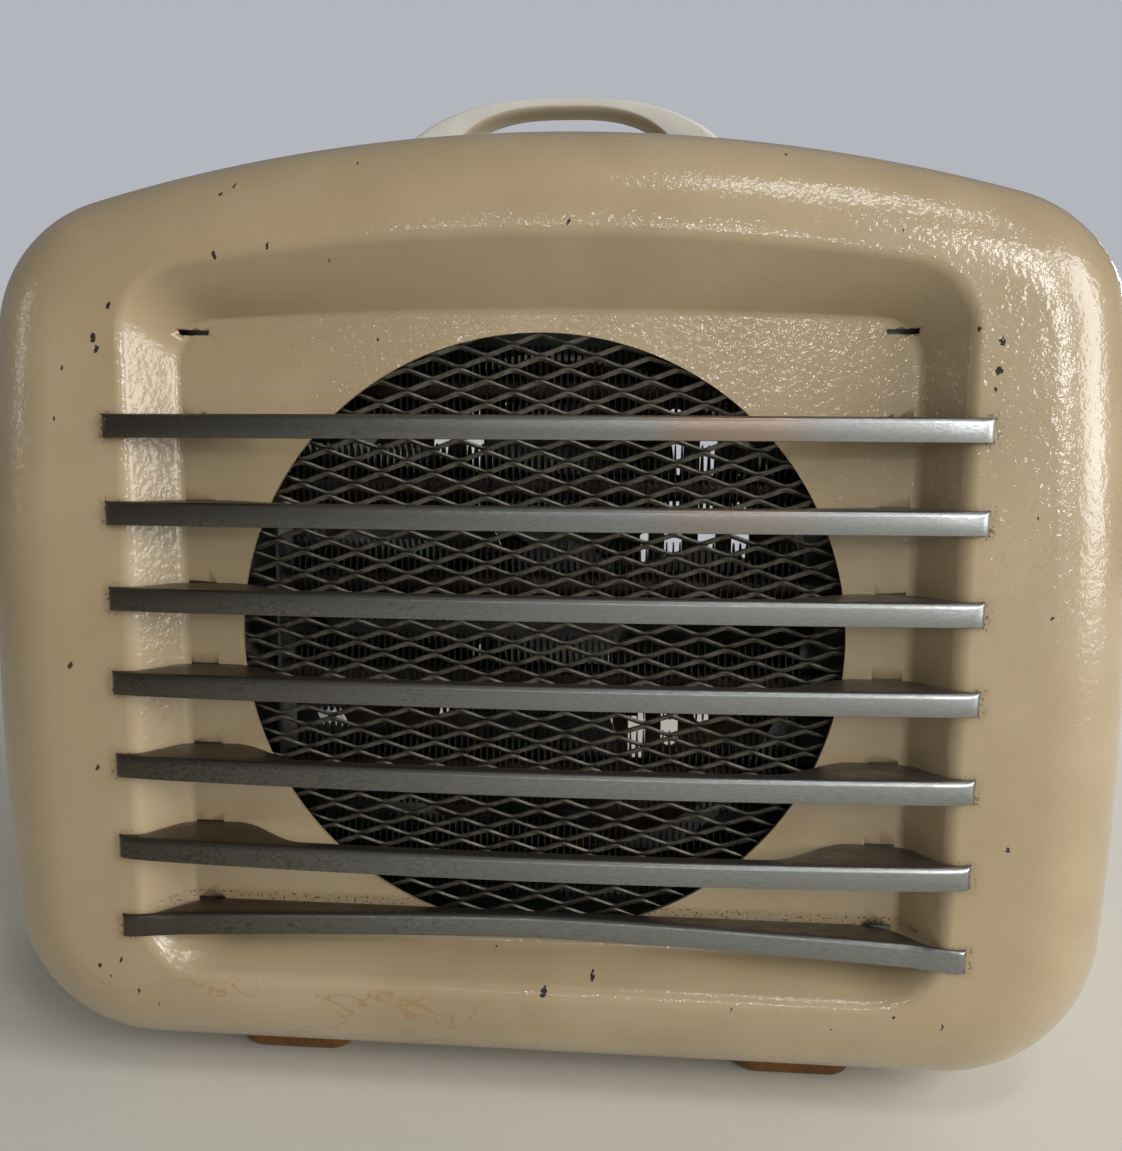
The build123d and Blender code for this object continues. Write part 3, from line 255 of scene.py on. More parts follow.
def outline(width, top, bottom, side_bow, side_height, crown_bow, top_corner, bottom_corner):
    """A rounded outline: straight base, bowed sides, arched crown, and corners tangent to both.

    A corner's centre lies at (bow - corner) from the centres of the two arcs that it joins.
    Returns points and outward normals, anticlockwise from the middle of the base."""
    side = np.array([width / 2 - side_bow, side_height])
    arch = np.array([0, top - crown_bow])
    low_z = bottom + bottom_corner
    low_x = side[0] + math.sqrt((side_bow - bottom_corner) ** 2 - (low_z - side_height) ** 2)
    low = np.array([low_x, low_z])
    apart = np.linalg.norm(arch - side)
    along = (arch - side) / apart
    reach = ((side_bow - top_corner) ** 2 - (crown_bow - top_corner) ** 2 + apart ** 2) / (2 * apart)
    off = math.sqrt((side_bow - top_corner) ** 2 - reach ** 2)
    high = side + reach * along + off * np.array([-along[1], along[0]])
    low_turn = math.atan2(*(low - side)[::-1])
    high_turn = math.atan2(*(high - side)[::-1])
    crown_turn = math.atan2(*(high - arch)[::-1])
    base_steps, corner_steps, side_steps, crown_steps = 24, 32, 30, 42
    ground = np.stack([np.linspace(0, low[0], base_steps), np.full(base_steps, bottom)], -1)
    parts = [(ground, np.tile([0.0, -1.0], (base_steps, 1))),
             arc(low, bottom_corner, -math.pi / 2, low_turn, corner_steps),
             arc(side, side_bow, low_turn, high_turn, side_steps),
             arc(high, top_corner, high_turn, crown_turn, corner_steps),
             arc(arch, crown_bow, crown_turn, math.pi / 2, crown_steps)]
    points = np.concatenate([part[0][:-1] for part in parts] + [parts[-1][0][-1:]])
    normals = np.concatenate([part[1][:-1] for part in parts] + [parts[-1][1][-1:]])
    mirrored = np.array([-1.0, 1.0])
    return (np.concatenate([points, points[-2:0:-1] * mirrored]),
            np.concatenate([normals, normals[-2:0:-1] * mirrored]))


def seen_along(points, bearing):
    """The points where rays from the outlet's centre, at given bearings, meet a closed outline."""
    own = np.arctan2(points[:, 1], points[:, 0])
    order = np.argsort(own)
    reach = np.interp(bearing, own[order], np.linalg.norm(points, axis=-1)[order], period=2 * math.pi)
    return reach[..., None] * np.stack([np.cos(bearing), np.sin(bearing)], -1)


def stand(points, depth):
    """Places points of the front view, measured from the outlet's centre, at a depth."""
    depth = np.broadcast_to(depth, points.shape[:-1])
    return np.stack([points[..., 0], depth, points[..., 1] + axis_z], -1)


def blend_rows(first, last, count):
    """Rows of points on straight lines between two rows, without the first and the last."""
    share = np.linspace(0, 1, count + 2)[1:-1, None, None]
    return first + share * (last - first)


def revolve(profile, centre, steps):
    """Turns a profile of (radius, depth) pairs about the axis through a centre that runs along Y."""
    angle = np.linspace(0, 2 * math.pi, steps, endpoint=False)
    radius, depth = np.asarray(profile, float).T[:, :, None]
    return np.stack([centre[0] + radius * np.cos(angle), centre[1] + depth + 0 * angle,
                     centre[2] + radius * np.sin(angle)], -1)


def front_drop(points, settings):
    """How far the case's front has fallen back at points of the front view: the front roll's circle,
    r - sqrt(r^2 - s^2), at the distance s past the roll's start on the crown, the base or a side."""
    side = half_width - settings.side_bow
    level = base + settings.widest
    rooms = [settings.crown_bow - np.hypot(points[..., 0], points[..., 1] - crown + settings.crown_bow),
             points[..., 1] - base,
             settings.side_bow - np.hypot(np.abs(points[..., 0]) - side, points[..., 1] - level)]
    past = np.maximum(settings.front_roll - np.min(rooms, axis=0), 0)
    return settings.front_roll - np.sqrt(settings.front_roll ** 2 - past ** 2)


def case_points(settings, panel_y):
    """The case's outside, row by row from the rear flange over both rolls into the recess to the outlet.

    A roll of radius r turns by t: inset r (1 - cos t), depth r (1 - sin t). The recess's lip and floor
    are arcs tangent to the rim, the sloping wall and the panel, taken along rays from the outlet's
    centre. Where the lip starts on the front roll, the roll's points stop at it."""
    points, normals = outline(2 * half_width, crown, base, settings.side_bow,
                              base + settings.widest, settings.crown_bow,
                              settings.top_corner, settings.bottom_corner)
    roll = np.linspace(0, math.pi / 2, 24)
    rolled = points - (settings.front_roll * (1 - np.cos(roll)))[:, None, None] * normals
    bearing = np.arctan2(rolled[..., 1], rolled[..., 0])
    straight_bow, arc_rows, wall_rows, hidden_margin = 50.0, 10, 4, 1.004
    rim, panel = (
        seen_along(outline(width, top, -bottom, straight_bow, 0.0, arch, corner, corner)[0], bearing[-1])
        for width, top, bottom, arch, corner in (
            (settings.rim_width, settings.rim_top, settings.rim_bottom, settings.rim_arch,
             settings.rim_corner),
            (settings.panel_width, settings.panel_top, settings.panel_bottom, settings.panel_arch,
             settings.panel_corner)))
    run = np.linalg.norm(panel - rim, axis=-1)
    inward = (panel - rim) / run[:, None]
    slope = np.arctan2(settings.recess, run)
    turn = np.linspace(0, 1, arc_rows)[:, None] * slope
    lip_tangent = settings.lip * np.tan(slope / 2)
    floor_tangent = settings.floor * np.tan(slope / 2)
    lip_run = settings.lip * np.sin(turn) - lip_tangent
    lip_depth = settings.lip * (1 - np.cos(turn))
    floor_run = (run + floor_tangent - settings.floor * np.sin(turn))[::-1]
    floor_depth = (settings.recess - settings.floor * (1 - np.cos(turn)))[::-1]
    wall = np.linspace(0, 1, wall_rows + 2)[1:-1, None]
    wall_run = lip_run[-1] + wall * (floor_run[0] - lip_run[-1])
    wall_depth = lip_depth[-1] + wall * (floor_depth[0] - lip_depth[-1])
    across = np.concatenate([lip_run, wall_run, floor_run])
    down = np.concatenate([lip_depth, wall_depth, floor_depth])
    lip_start = rim + lip_run[0][:, None] * inward
    down[:arc_rows] += front_drop(lip_start, settings) * np.linspace(1, 0, arc_rows)[:, None] ** 2
    recess = stand(rim + across[..., None] * inward, rim_y + down)

    rear = np.linspace(0, math.pi / 2, 12)
    straight = np.linspace(rear_y - settings.rear_roll, rim_y + settings.front_roll, 10)[1:-1]
    flange = np.linspace(settings.rear_roll + settings.rear_flange, settings.rear_roll, 4)[:-1]
    inset = np.concatenate([flange, settings.rear_roll * (1 - np.sin(rear)), 0 * straight])
    depth = np.concatenate([0 * flange + rear_y, rear_y - settings.rear_roll * (1 - np.cos(rear)), straight])
    shell = stand(points - inset[:, None, None] * normals, depth[:, None])
    limit = seen_along(lip_start * hidden_margin, bearing)
    covered = np.linalg.norm(rolled, axis=-1) < np.linalg.norm(limit, axis=-1)
    rolled = np.where(covered[..., None], limit[-1], rolled)
    roll_depth = settings.front_roll * (1 - np.sin(roll))[:, None]
    fallen = np.where(covered, front_drop(limit[-1], settings), roll_depth)
    shell = np.concatenate([shell, stand(rolled, rim_y + fallen)])
    flat = blend_rows(shell[-1], recess[0], 3)

    foot = rim + across[-1][:, None] * inward
    mouth = foot / np.linalg.norm(foot, axis=-1, keepdims=True) * settings.outlet
    mouth = stand(mouth, panel_y)
    return np.concatenate([shell, flat, recess, blend_rows(recess[-1], mouth, 5), mouth[None]])


def sheet_points(outside, gauge):
    """Both faces of a sheet as one closed grid: the outside, and its points moved in along the normals."""
    along = np.gradient(outside, axis=0)
    across = np.roll(outside, -1, 1) - np.roll(outside, 1, 1)
    normal = np.cross(across, along)
    normal /= np.linalg.norm(normal, axis=-1, keepdims=True)
    return np.concatenate([outside, (outside - gauge * normal)[::-1]])


def finished_mesh(piece):
    """Bakes a piece's modifiers into its mesh."""
    evaluated = piece.evaluated_get(bpy.context.evaluated_depsgraph_get())
    mesh = bpy.data.meshes.new_from_object(evaluated)
    piece.modifiers.clear()
    piece.data = mesh


def bar_depths(settings, case, panel_y, x, low):
    """Depths of a bar's front face and of its back edge along x.

    The front is an arc through the crown and the ends, turns in a little towards them, and its tips
    round off as quarter circles. The back edge stays one flange behind it over the outlet, eases down
    to the panel by 3 s^2 - 2 s^3, and then follows the recess's wall up to the rim. The lowest bar lies
    against the panel and kinks forward at its ends."""
    seat_clearance = 0.3 * MM
    reach = np.abs(x)
    half = settings.half_length
    sag = settings.crown_stand - settings.end_stand
    bow = (half ** 2 + sag ** 2) / (2 * sag)
    if low:
        shoulder, shoulder_depth, middle_depth = 112 * MM, 12.9 * MM, 4.6 * MM
        bent = panel_y - middle_depth - (shoulder_depth - middle_depth) * (reach / shoulder) ** 1.5
        tip = rim_y - settings.end_stand
        forward = (tip - panel_y + shoulder_depth) * (reach - shoulder) / (half - shoulder)
        front = np.where(reach < shoulder, bent, panel_y - shoulder_depth + forward)
    else:
        front = rim_y - settings.crown_stand + bow - np.sqrt(bow ** 2 - reach ** 2)
    turn_start, turn_length = 0.88 * half, 0.12 * half
    front = front + settings.turn_in * np.clip((reach - turn_start) / turn_length, 0, 1) ** 2
    over = np.clip(reach - (half - settings.curl), 0, settings.curl)
    front = front + settings.curl - np.sqrt(settings.curl ** 2 - over ** 2)

    floor_inset, rim_inset = (4.5 * MM, 1.8 * MM) if low else (0.0, 0.0)
    floor_x = case.panel_width / 2 - seat_clearance - floor_inset
    rim_x = case.rim_width / 2 - seat_clearance - rim_inset
    places = [floor_x - case.floor, floor_x + case.floor / 2, rim_x - case.lip / 4, rim_x + case.lip / 2]
    rise = [0, case.recess * 0.16, case.recess * 0.9, case.recess]
    seat = panel_y - seat_clearance - np.interp(reach, places, rise)
    if low:
        back = seat
    else:
        flange_end, foot_start = 70 * MM, 96 * MM
        share = np.clip((reach - flange_end) / (foot_start - flange_end), 0, 1)
        share = share ** 2 * (3 - 2 * share)
        back = (front + settings.flange) * (1 - share) + seat * share
    return front, back


def bar_points(settings, case, panel_y, top, low):
    """A bar: an angle section carried along X, solid in its end walls, closed to a point at each tip.

    The section goes round the strip: up the face, over the bend of the outer radius, back along the
    flange, round its back edge, and underneath to the inner bend and down the face's inside."""
    half, gauge, curl = settings.half_length, settings.gauge, settings.curl
    tip = half - curl * (1 - np.cos(np.linspace(0, math.pi / 2, 9)))[::-1]
    tip = tip[tip > half - gauge]
    body = np.linspace(0, half - gauge, 90)
    x = np.concatenate([-tip[::-1], -body[:0:-1], body, tip])
    solid = np.abs(x) > half - gauge
    wall = np.flatnonzero(np.isclose(np.abs(x), half - gauge))
    x = np.insert(x, [wall[0], wall[1] + 1], x[wall])
    solid = np.insert(solid, [wall[0], wall[1] + 1], True)
    front, back = bar_depths(settings, case, panel_y, x, low)
    soft = 0.35 * MM
    edge = np.minimum(settings.edge, 0.8 * (back - front))
    inner = np.maximum(edge - gauge, 0.1 * MM)
    bottom = top - settings.face
    level = np.zeros_like(x)

    quarter = np.linspace(0, math.pi / 2, 7)
    outside = [(front + soft, level + bottom), (front + 0.3 * soft, level + bottom + 0.3 * soft),
               (front, level + bottom + soft), (front, top - 0.5 * settings.face + level)]
    outside += [(front + edge * (1 - math.cos(a)), top - edge * (1 - math.sin(a))) for a in quarter]
    ledge = back - soft - front - edge
    outside += [(front + edge + share * ledge, top + level) for share in (0.33, 0.67, 1.0)]
    outside += [(back - 0.3 * soft, top - 0.3 * soft + level), (back, top - soft + level)]
    lip = [(back, soft), (back - 0.3 * soft, 0.3 * soft), (back - soft, 0.0)]
    inside = [(back - soft - share * ledge, 0.0) for share in (0.33, 0.67)]
    inside += [(front + edge - inner * math.cos(a), -(inner - inner * math.sin(a))) for a in quarter[::-2]]
    inside += [(front + gauge, soft - (settings.face - gauge)),
               (front + gauge - 0.3 * soft, 0.3 * soft - (settings.face - gauge)),
               (front + gauge - soft, gauge - settings.face)]
    underside = [(y, np.where(solid, bottom + np.maximum(z, 0.0), top - gauge + z)) for y, z in lip + inside]
    depth = np.stack([y + level for y, _ in outside + underside], -1)
    height = np.stack([z + level for _, z in outside + underside], -1)
    section = np.stack([np.broadcast_to(x[:, None], depth.shape), depth, height], -1)
    middle = section.mean(1, keepdims=True) + 0 * section
    return np.concatenate([middle[:1], section, middle[-1:]])


def mesh_points(settings, radius, middle_y):
    """The expanded mesh: rows of zigzag strands, joined to the row above and the row below by turns.

    Along a row the height is a zigzag with soft bends, asin(k cos) of one diamond's length, and
    alternate rows are half a diamond apart. The strand's flat section leans back, more where it falls
    to the right than where it rises, and its middle swings in depth with its height, less where the
    sheet is clamped at its edge."""
    pitch = settings.short_way / 2
    count = int(radius / pitch)
    rows = np.arange(-count, count + 1)
    height = rows * pitch
    overshoot, columns, crispness = 2 * MM, 190, 0.95
    joined, dip, clamp_radius, clamp_width, flattest = 0.62, 0.45 * MM, 94 * MM, 3 * MM, 0.35
    mean_lean, lean_change = math.radians(38), math.radians(16)
    reach = np.sqrt(radius ** 2 - height ** 2 + overshoot ** 2)
    x = reach[:, None] * np.linspace(-1, 1, columns)
    phase = 2 * math.pi * x / settings.long_way + math.pi * (rows[:, None] % 2)
    wave = np.arcsin(crispness * np.cos(phase)) / math.asin(crispness)
    slope = -crispness * np.sin(phase) / np.sqrt(1 - (crispness * np.cos(phase)) ** 2) / math.asin(crispness)
    swing = (pitch - joined * settings.strand) / 2
    clamp = np.clip((clamp_radius - np.hypot(x, height[:, None])) / clamp_width, flattest, 1)
    centre = np.stack([x, middle_y - dip * wave * clamp, axis_z + height[:, None] + swing * wave], -1)
    tangent = np.stack([np.ones_like(x), 0 * x, swing * slope * 2 * math.pi / settings.long_way], -1)
    tangent /= np.linalg.norm(tangent, axis=-1, keepdims=True)
    lean = mean_lean - lean_change * np.clip(slope, -1, 1)
    upright = np.stack([0 * lean, -np.sin(lean), np.cos(lean)], -1)
    across = upright - np.sum(tangent * upright, -1, keepdims=True) * tangent
    across /= np.linalg.norm(across, axis=-1, keepdims=True)
    facing = np.cross(tangent, across)
    half, thin = settings.strand / 2, settings.gauge / 2
    bevel = 0.25 * thin
    corners = [(half, bevel - thin), (half, thin - bevel), (half - bevel, thin), (bevel - half, thin),
               (-half, thin - bevel), (-half, bevel - thin), (bevel - half, -thin), (half - bevel, -thin)]
    section = np.stack([centre + a * across + b * facing * clamp[..., None] for a, b in corners], 2)
    middle = section.mean(2, keepdims=True) + 0 * section
    return np.concatenate([middle[:, :1], section, middle[:, -1:]], 1)


def sheath_points(settings, low, high, upper, lower, y):
    """The element's sheath: a circle carried along a leg, round a half circle and back along a leg."""
    bend = (upper - lower) / 2
    end_x, bend_x = high.x, low.x + settings.sheath + bend
    leg = np.linspace(end_x, bend_x, 12)
    turn = np.linspace(0, math.pi, 18)
    path_x = np.concatenate([leg, bend_x - bend * np.sin(turn)[1:-1], leg[::-1]])
    path_z = np.concatenate([0 * leg + upper, lower + bend + bend * np.cos(turn)[1:-1], 0 * leg + lower])
    ahead_x, ahead_z = np.gradient(path_x), np.gradient(path_z)
    ahead = np.hypot(ahead_x, ahead_z)
    angle = np.linspace(0, 2 * math.pi, 20, endpoint=False)
    side = settings.sheath * np.cos(angle)
    ring = np.stack([path_x[:, None] - side * (ahead_z / ahead)[:, None],
                     y + settings.sheath * np.sin(angle) + 0 * path_x[:, None],
                     path_z[:, None] + side * (ahead_x / ahead)[:, None]], -1)
    middle = ring.mean(1, keepdims=True) + 0 * ring
    return np.concatenate([middle[:1], ring, middle[-1:]])


def fin_points(settings, places):
    """Oval fins, one round each place: a sheet whose collar is crimped.

    The crimp is a wave of the angle that fades from the collar to the fin's edge."""
    angle = np.linspace(0, 2 * math.pi, 32, endpoint=False)
    collar_fit, crimps, crimp_depth = 1.02, 8, 0.4 * MM
    collar, thin = settings.sheath * collar_fit, settings.fin_gauge / 2
    sheet = []
    for share, side in ((0, -thin), (0.5, -thin), (1, -thin), (1, thin), (0.5, thin), (0, thin)):
        height = collar + share * (settings.fin_height / 2 - collar)
        depth = collar + share * (settings.fin_depth / 2 - collar)
        sheet.append(np.stack([side + crimp_depth * (1 - share) * np.cos(crimps * angle),
                               depth * np.cos(angle), height * np.sin(angle)], -1))
    return np.stack(sheet)[None] + np.asarray(places)[:, None, None, :]


def handle_points(settings, middle_y):
    """The handle: a section carried over the arch between an outer and an inner superellipse.

    Both curves are x = a cos^(2/p) t and z = root + b sin^(2/p) t. At each t the section has a flat
    top with soft edges, a front and a back face down to the inner curve, and an underside that bulges
    as half an ellipse. Its depth grows with the square of x towards the legs."""
    half_depth = settings.grip_depth / 2
    apex = handle_high.z - axis_z - settings.root
    outer_power, inner_power, seam = 2.47, 2.8, 0.05 * MM
    crown_bow = bpy.context.scene.heater_case.crown_bow

    def curve(reach, rise, power):
        seat = crown - crown_bow + math.sqrt(crown_bow ** 2 - reach ** 2) - settings.root + seam
        start = math.asin((seat / rise) ** (power / 2))
        t = np.linspace(start, math.pi - start, 96)
        x = reach * np.sign(np.cos(t)) * np.abs(np.cos(t)) ** (2 / power)
        z = rise * np.sin(t) ** (2 / power)
        lowest = crown - crown_bow + np.sqrt(crown_bow ** 2 - x ** 2) - settings.root + seam
        return np.stack([x, np.maximum(z, lowest)], -1)

    outer = curve(settings.outer_reach, apex, outer_power)
    front = curve(settings.inner_reach, apex - settings.face, inner_power)
    belly = curve(settings.inner_reach, apex - settings.face - settings.belly, inner_power)
    soft = 1.2 * MM
    turn = np.linspace(0, math.pi / 2, 6)
    edge_depth = half_depth - soft * (1 - np.sin(turn))
    edge_share = soft * (1 - np.cos(turn)) / (2 * settings.face)
    rows = [(outer, depth) for depth in np.linspace(-half_depth + soft, half_depth - soft, 9)]
    rows += [(outer + share * (front - outer), depth)
             for share, depth in zip(edge_share[1:], edge_depth[1:])]
    rows += [(front + math.sin(angle) * (belly - front), half_depth * math.cos(angle))
             for angle in np.linspace(0, math.pi, 25)]
    rows += [(outer + share * (front - outer), -depth)
             for share, depth in zip(edge_share[:0:-1], edge_depth[:0:-1])]
    section = np.stack([row[0] for row in rows], 1) + (0, settings.root)
    depths = np.array([row[1] for row in rows])
    share = (section[..., 0] / settings.outer_reach) ** 2
    flare = 1 + (settings.leg_depth / settings.grip_depth - 1) * share
    ring = stand(section, middle_y + depths * flare)
    middle = ring.mean(1, keepdims=True) + 0 * ring
    return np.concatenate([middle[:1], ring, middle[-1:]])


def foot_points(low, high):
    """A rubber foot, from the middle of its top over its edge and round lower edge into its screw well.

    The plan is a rounded rectangle, which shrinks round the lower edge as a quarter circle and then
    turns into the well's circle."""
    height, corner, lower_round, soft = high.z - low.z, 9 * MM, 3.5 * MM, 0.5 * MM
    well, well_depth = 5.5 * MM, 4 * MM
    middle = np.array([(low.x + high.x) / 2, (low.y + high.y) / 2])
    half = np.array([(high.x - low.x) / 2, (high.y - low.y) / 2])
    angle = np.linspace(0, 2 * math.pi, 64, endpoint=False)
    facing = np.stack([np.cos(angle), np.sin(angle)], -1)
    square = np.sign(facing) * (half - corner) + corner * facing

    def shrunk(inset):
        return square - inset * facing

    turn = np.linspace(0, math.pi / 2, 9)
    rows = [(0 * square, height), (0.7 * square, height), (shrunk(soft), height), (square, height - soft)]
    rows += [(square, level) for level in np.linspace(height - 2 * soft, lower_round, 3)]
    rows += [(shrunk(lower_round * (1 - math.cos(a))), lower_round * (1 - math.sin(a))) for a in turn[1:]]
    rows += [(well * 1.08 * facing, 0.0), (well * facing, 0.08 * well), (well * facing, well_depth),
             (0 * square, well_depth)]
    plan = np.stack([row[0] for row in rows]) + middle
    level = np.array([row[1] for row in rows])[:, None] + low.z + 0 * plan[..., 0]
    return np.concatenate([plan, level[..., None]], -1)


# Materials

smooth = {"interpolation_type": "SMOOTHSTEP"}
# A Mix node's factor is its socket 0, and its colours are sockets 6 and 7 and output 2
blend = {"data_type": "RGBA", "output": 2}


def add_node(tree, kind, *values, output=0, **settings):
    """Adds a node with its settings, and gives one of its outputs.

    Values fill its sockets in order, or by name in a dictionary. Each is a number, a linear colour or
    another output to link."""
    made = tree.nodes.new("ShaderNode" + kind)
    for key, value in settings.items():
        setattr(made, key, value)
    named = values[0] if values and isinstance(values[0], dict) else dict(enumerate(values))
    for key, value in named.items():
        if isinstance(value, bpy.types.NodeSocket):
            tree.links.new(value, made.inputs[key])
        elif made.inputs[key].type == "RGBA":
            made.inputs[key].default_value = (*tuple(value)[:3], 1.0)
        else:
            made.inputs[key].default_value = value
    return made.outputs[output] if len(made.outputs) else made


def start_material(name, **sockets):
    """A material with its Principled shader, which holds the fixed values.

    Returns it, the function that adds its nodes, and the places on the object."""
    material = bpy.data.materials.new(name)
    material.use_nodes = True
    material.node_tree.nodes.clear()
    node = partial(add_node, material.node_tree)
    node("OutputMaterial", node("BsdfPrincipled", sockets))
    return material, node, node("TexCoord", output="Object")


def finish_material(material, colour_now, roughness=None, normal=None, coat_normal=None):
    """Links a finish's colour, roughness and normals to its shader."""
    tree = material.node_tree
    sockets = tree.nodes["Principled BSDF"].inputs
    for name, value in (("Base Color", colour_now), ("Roughness", roughness), ("Normal", normal),
                        ("Coat Normal", coat_normal)):
        if value is not None:
            tree.links.new(value, sockets[name])
    return material


def shaded(tint, *shares):
    """A colour with its red, green and blue each taken down to a share."""
    return tuple(value * share for value, share in zip(tint, shares))


def grain(node, place, millimetres, stretch=(1, 1, 1), detail=3.0, rough=0.55):
    """Noise whose features are about so many millimetres across, stretched along the axes."""
    scaled = node("Mapping", {"Vector": place, "Scale": stretch})
    return node("TexNoise", {"Vector": scaled, "Scale": 1 / (millimetres * MM), "Detail": detail,
                             "Roughness": rough})


def overlap(node, first, *others):
    """1 where all of the masks are 1: their product."""
    for other in others:
        first = node("Math", first, other, operation="MULTIPLY")
    return first


def away(node, value, middle):
    """How far a value is from a middle one, on either side."""
    return node("Math", node("Math", value, middle, operation="SUBTRACT"), operation="ABSOLUTE")


def marks(node, place, spots, wobble):
    """1 inside any of the narrow upright spots, given as (x, z, radius) in millimetres from the outlet's
    centre. A wobble shifts the places that are compared, which gives the spots ragged edges."""
    narrow, ragged, outer, inner = 1.5, 3.6 * MM, 1.15, 0.9
    x, _, z = node("SeparateXYZ", place).node.outputs
    shift = overlap(node, node("Math", wobble, 0.5, operation="SUBTRACT"), ragged)
    x = node("Math", overlap(node, x, narrow), shift, operation="ADD")
    z = node("Math", node("Math", z, axis_z, operation="SUBTRACT"), shift, operation="ADD")
    flat = node("CombineXYZ", {"X": x, "Z": z})
    total = None
    for spot_x, spot_z, radius in spots:
        apart = node("VectorMath", flat, (narrow * spot_x * MM, 0, spot_z * MM), operation="DISTANCE",
                     output="Value")
        inside = node("MapRange", apart, radius * MM * outer, radius * MM * inner, **smooth)
        total = inside if total is None else node("Math", total, inside, operation="MAXIMUM")
    return total


def enamel_material(name, tint, worn):
    """Stove enamel, sprayed and baked: a glossy coat over cream paint.

    Its orange peel, ripples of about 2 mm, lies mostly in the coat and breaks up every reflection. Where it
    is worn, chips show dark primer, rust leaves tide lines, and dirt gathers at the seats of the bars."""
    material, node, place = start_material(name, **{
        "Metallic": 0.0, "IOR": 1.5, "Coat Weight": 0.8, "Coat Roughness": 0.05, "Coat IOR": 1.5})
    cloud = grain(node, place, 55, detail=2.0)
    fine = grain(node, place, 5, detail=4.0)
    clouded = node("MapRange", cloud, 0.35, 0.7, **smooth)
    base_colour = node("Mix", {0: clouded, 6: shaded(tint, 0.86, 0.84, 0.79), 7: tint}, **blend)
    faded = node("MapRange", fine, 0.62, 0.75, 0.0, 0.25, **smooth)
    base_colour = node("Mix", {0: faded, 6: base_colour, 7: linear("#94805F")}, **blend)
    roughness = node("MapRange", cloud, 0.3, 0.7, 0.36, 0.29, **smooth)
    peel = node("Math", grain(node, place, 2.2, detail=2.0), grain(node, place, 9, detail=1.0),
                operation="ADD")
    ripples = node("Bump", {"Height": peel, "Distance": 0.30 * MM})
    normal = node("Bump", {"Height": peel, "Distance": 0.035 * MM})
    if worn:
        ragged = grain(node, place, 1.6, detail=3.0)
        front_depth = 45 * MM
        depth = node("SeparateXYZ", place, output="Y")
        front = node("MapRange", depth, rim_y + front_depth + 1 * MM, rim_y + front_depth, **smooth)
        chips = overlap(node, marks(node, place, chip_places, ragged), front)
        crumbs = crumb_mask(node, place)
        stain = overlap(node, stain_mask(node, place), 0.6)
        for mask, stuff in ((stain, "#96713C"), (crumbs, "#5A4128"), (chips, "#1C1210")):
            base_colour = node("Mix", {0: mask, 6: base_colour, 7: linear(stuff)}, **blend)
        dull = overlap(node, node("Math", chips, crumbs, operation="MAXIMUM"), 0.5)
        roughness = node("Math", roughness, dull, operation="ADD")
        unchipped = node("Math", 1.0, chips, operation="SUBTRACT")
        normal = node("Bump", {"Height": unchipped, "Distance": 0.12 * MM, "Normal": normal})
    return finish_material(material, base_colour, roughness, normal, ripples)


# Chips on the front and the crown, as (x, z, radius) in millimetres from the outlet's centre
chip_places = [
    (-129.5, 89.3, 1.3), (-128.5, 86.5, 1.0), (-124.4, 98.5, 0.8), (-139.2, 80.9, 0.7),
    (128.1, 87.9, 1.3), (128.1, 80.5, 1.4), (122.1, 91.6, 0.8), (127.0, 75.0, 0.7),
    (-92.5, 112.4, 1.1), (-76.8, 114.7, 0.7), (-92.0, 131.0, 0.7), (-88.5, 133.2, 0.6),
    (9.5, 121.0, 0.5), (-52.0, 139.5, 0.6), (70.0, 141.5, 0.6), (101.0, 118.0, 0.6),
    (3.7, -105.9, 1.3), (18.5, -102.2, 0.9), (-12.5, -98.0, 0.5), (137.8, -55.5, 1.0),
    (-136.0, -103.6, 0.8), (-132.5, -107.0, 0.6), (-129.0, -101.5, 0.6), (-124.0, -112.0, 0.8),
    (-118.0, -116.5, 0.6), (-141.0, -8.0, 0.9), (-142.5, 66.0, 0.6), (-134.0, -40.0, 0.7),
    (108.0, -108.0, 0.6), (122.0, -110.5, 0.7), (90.0, -113.5, 0.5), (-60.0, 111.0, 0.4),
    (140.5, 40.0, 0.5), (146.0, 12.0, 0.5), (60.0, -108.5, 0.5), (-48.5, 90.5, 0.6)]


def crumb_mask(node, place):
    """Dirt that gathers round the bars' ends, at one pitch from bar to bar, and behind the lowest bar."""
    bars = bpy.context.scene.heater_bars
    dust = grain(node, place, 0.9, detail=2.0)
    x, _, z = node("SeparateXYZ", place).node.outputs
    reach = node("Math", x, operation="ABSOLUTE")
    top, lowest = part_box(bar_names[0])[1].z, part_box(bar_names[-1])[1].z
    row = node("Math", node("Math", z, top - bars.face / 2, operation="SUBTRACT"), bars.pitch,
               operation="DIVIDE")
    off_bar = away(node, row, node("Math", row, operation="ROUND"))
    end = bars.half_length
    near_end = overlap(node, node("MapRange", reach, end - 8 * MM, end - 1 * MM, **smooth),
                       node("MapRange", reach, end + 3.5 * MM, end + 0.5 * MM, **smooth))
    within = overlap(node, node("MapRange", z, top + 6 * MM, top + 3 * MM, **smooth),
                     node("MapRange", z, lowest - 12 * MM, lowest - 8 * MM, **smooth))
    ends = overlap(node, node("MapRange", off_bar, 0.24, 0.13, **smooth), near_end, within)
    seam = away(node, z, lowest + 1.2 * MM)
    behind = overlap(node, node("MapRange", seam, 2.6 * MM, 0.6 * MM, **smooth),
                     node("MapRange", reach, 125 * MM, 112 * MM, **smooth))
    zone = node("Math", ends, behind, operation="MAXIMUM")
    speckle = node("MapRange", dust, 0.56, 0.64, **smooth)
    return overlap(node, zone, node("Math", speckle, 0.18, operation="MAXIMUM"))


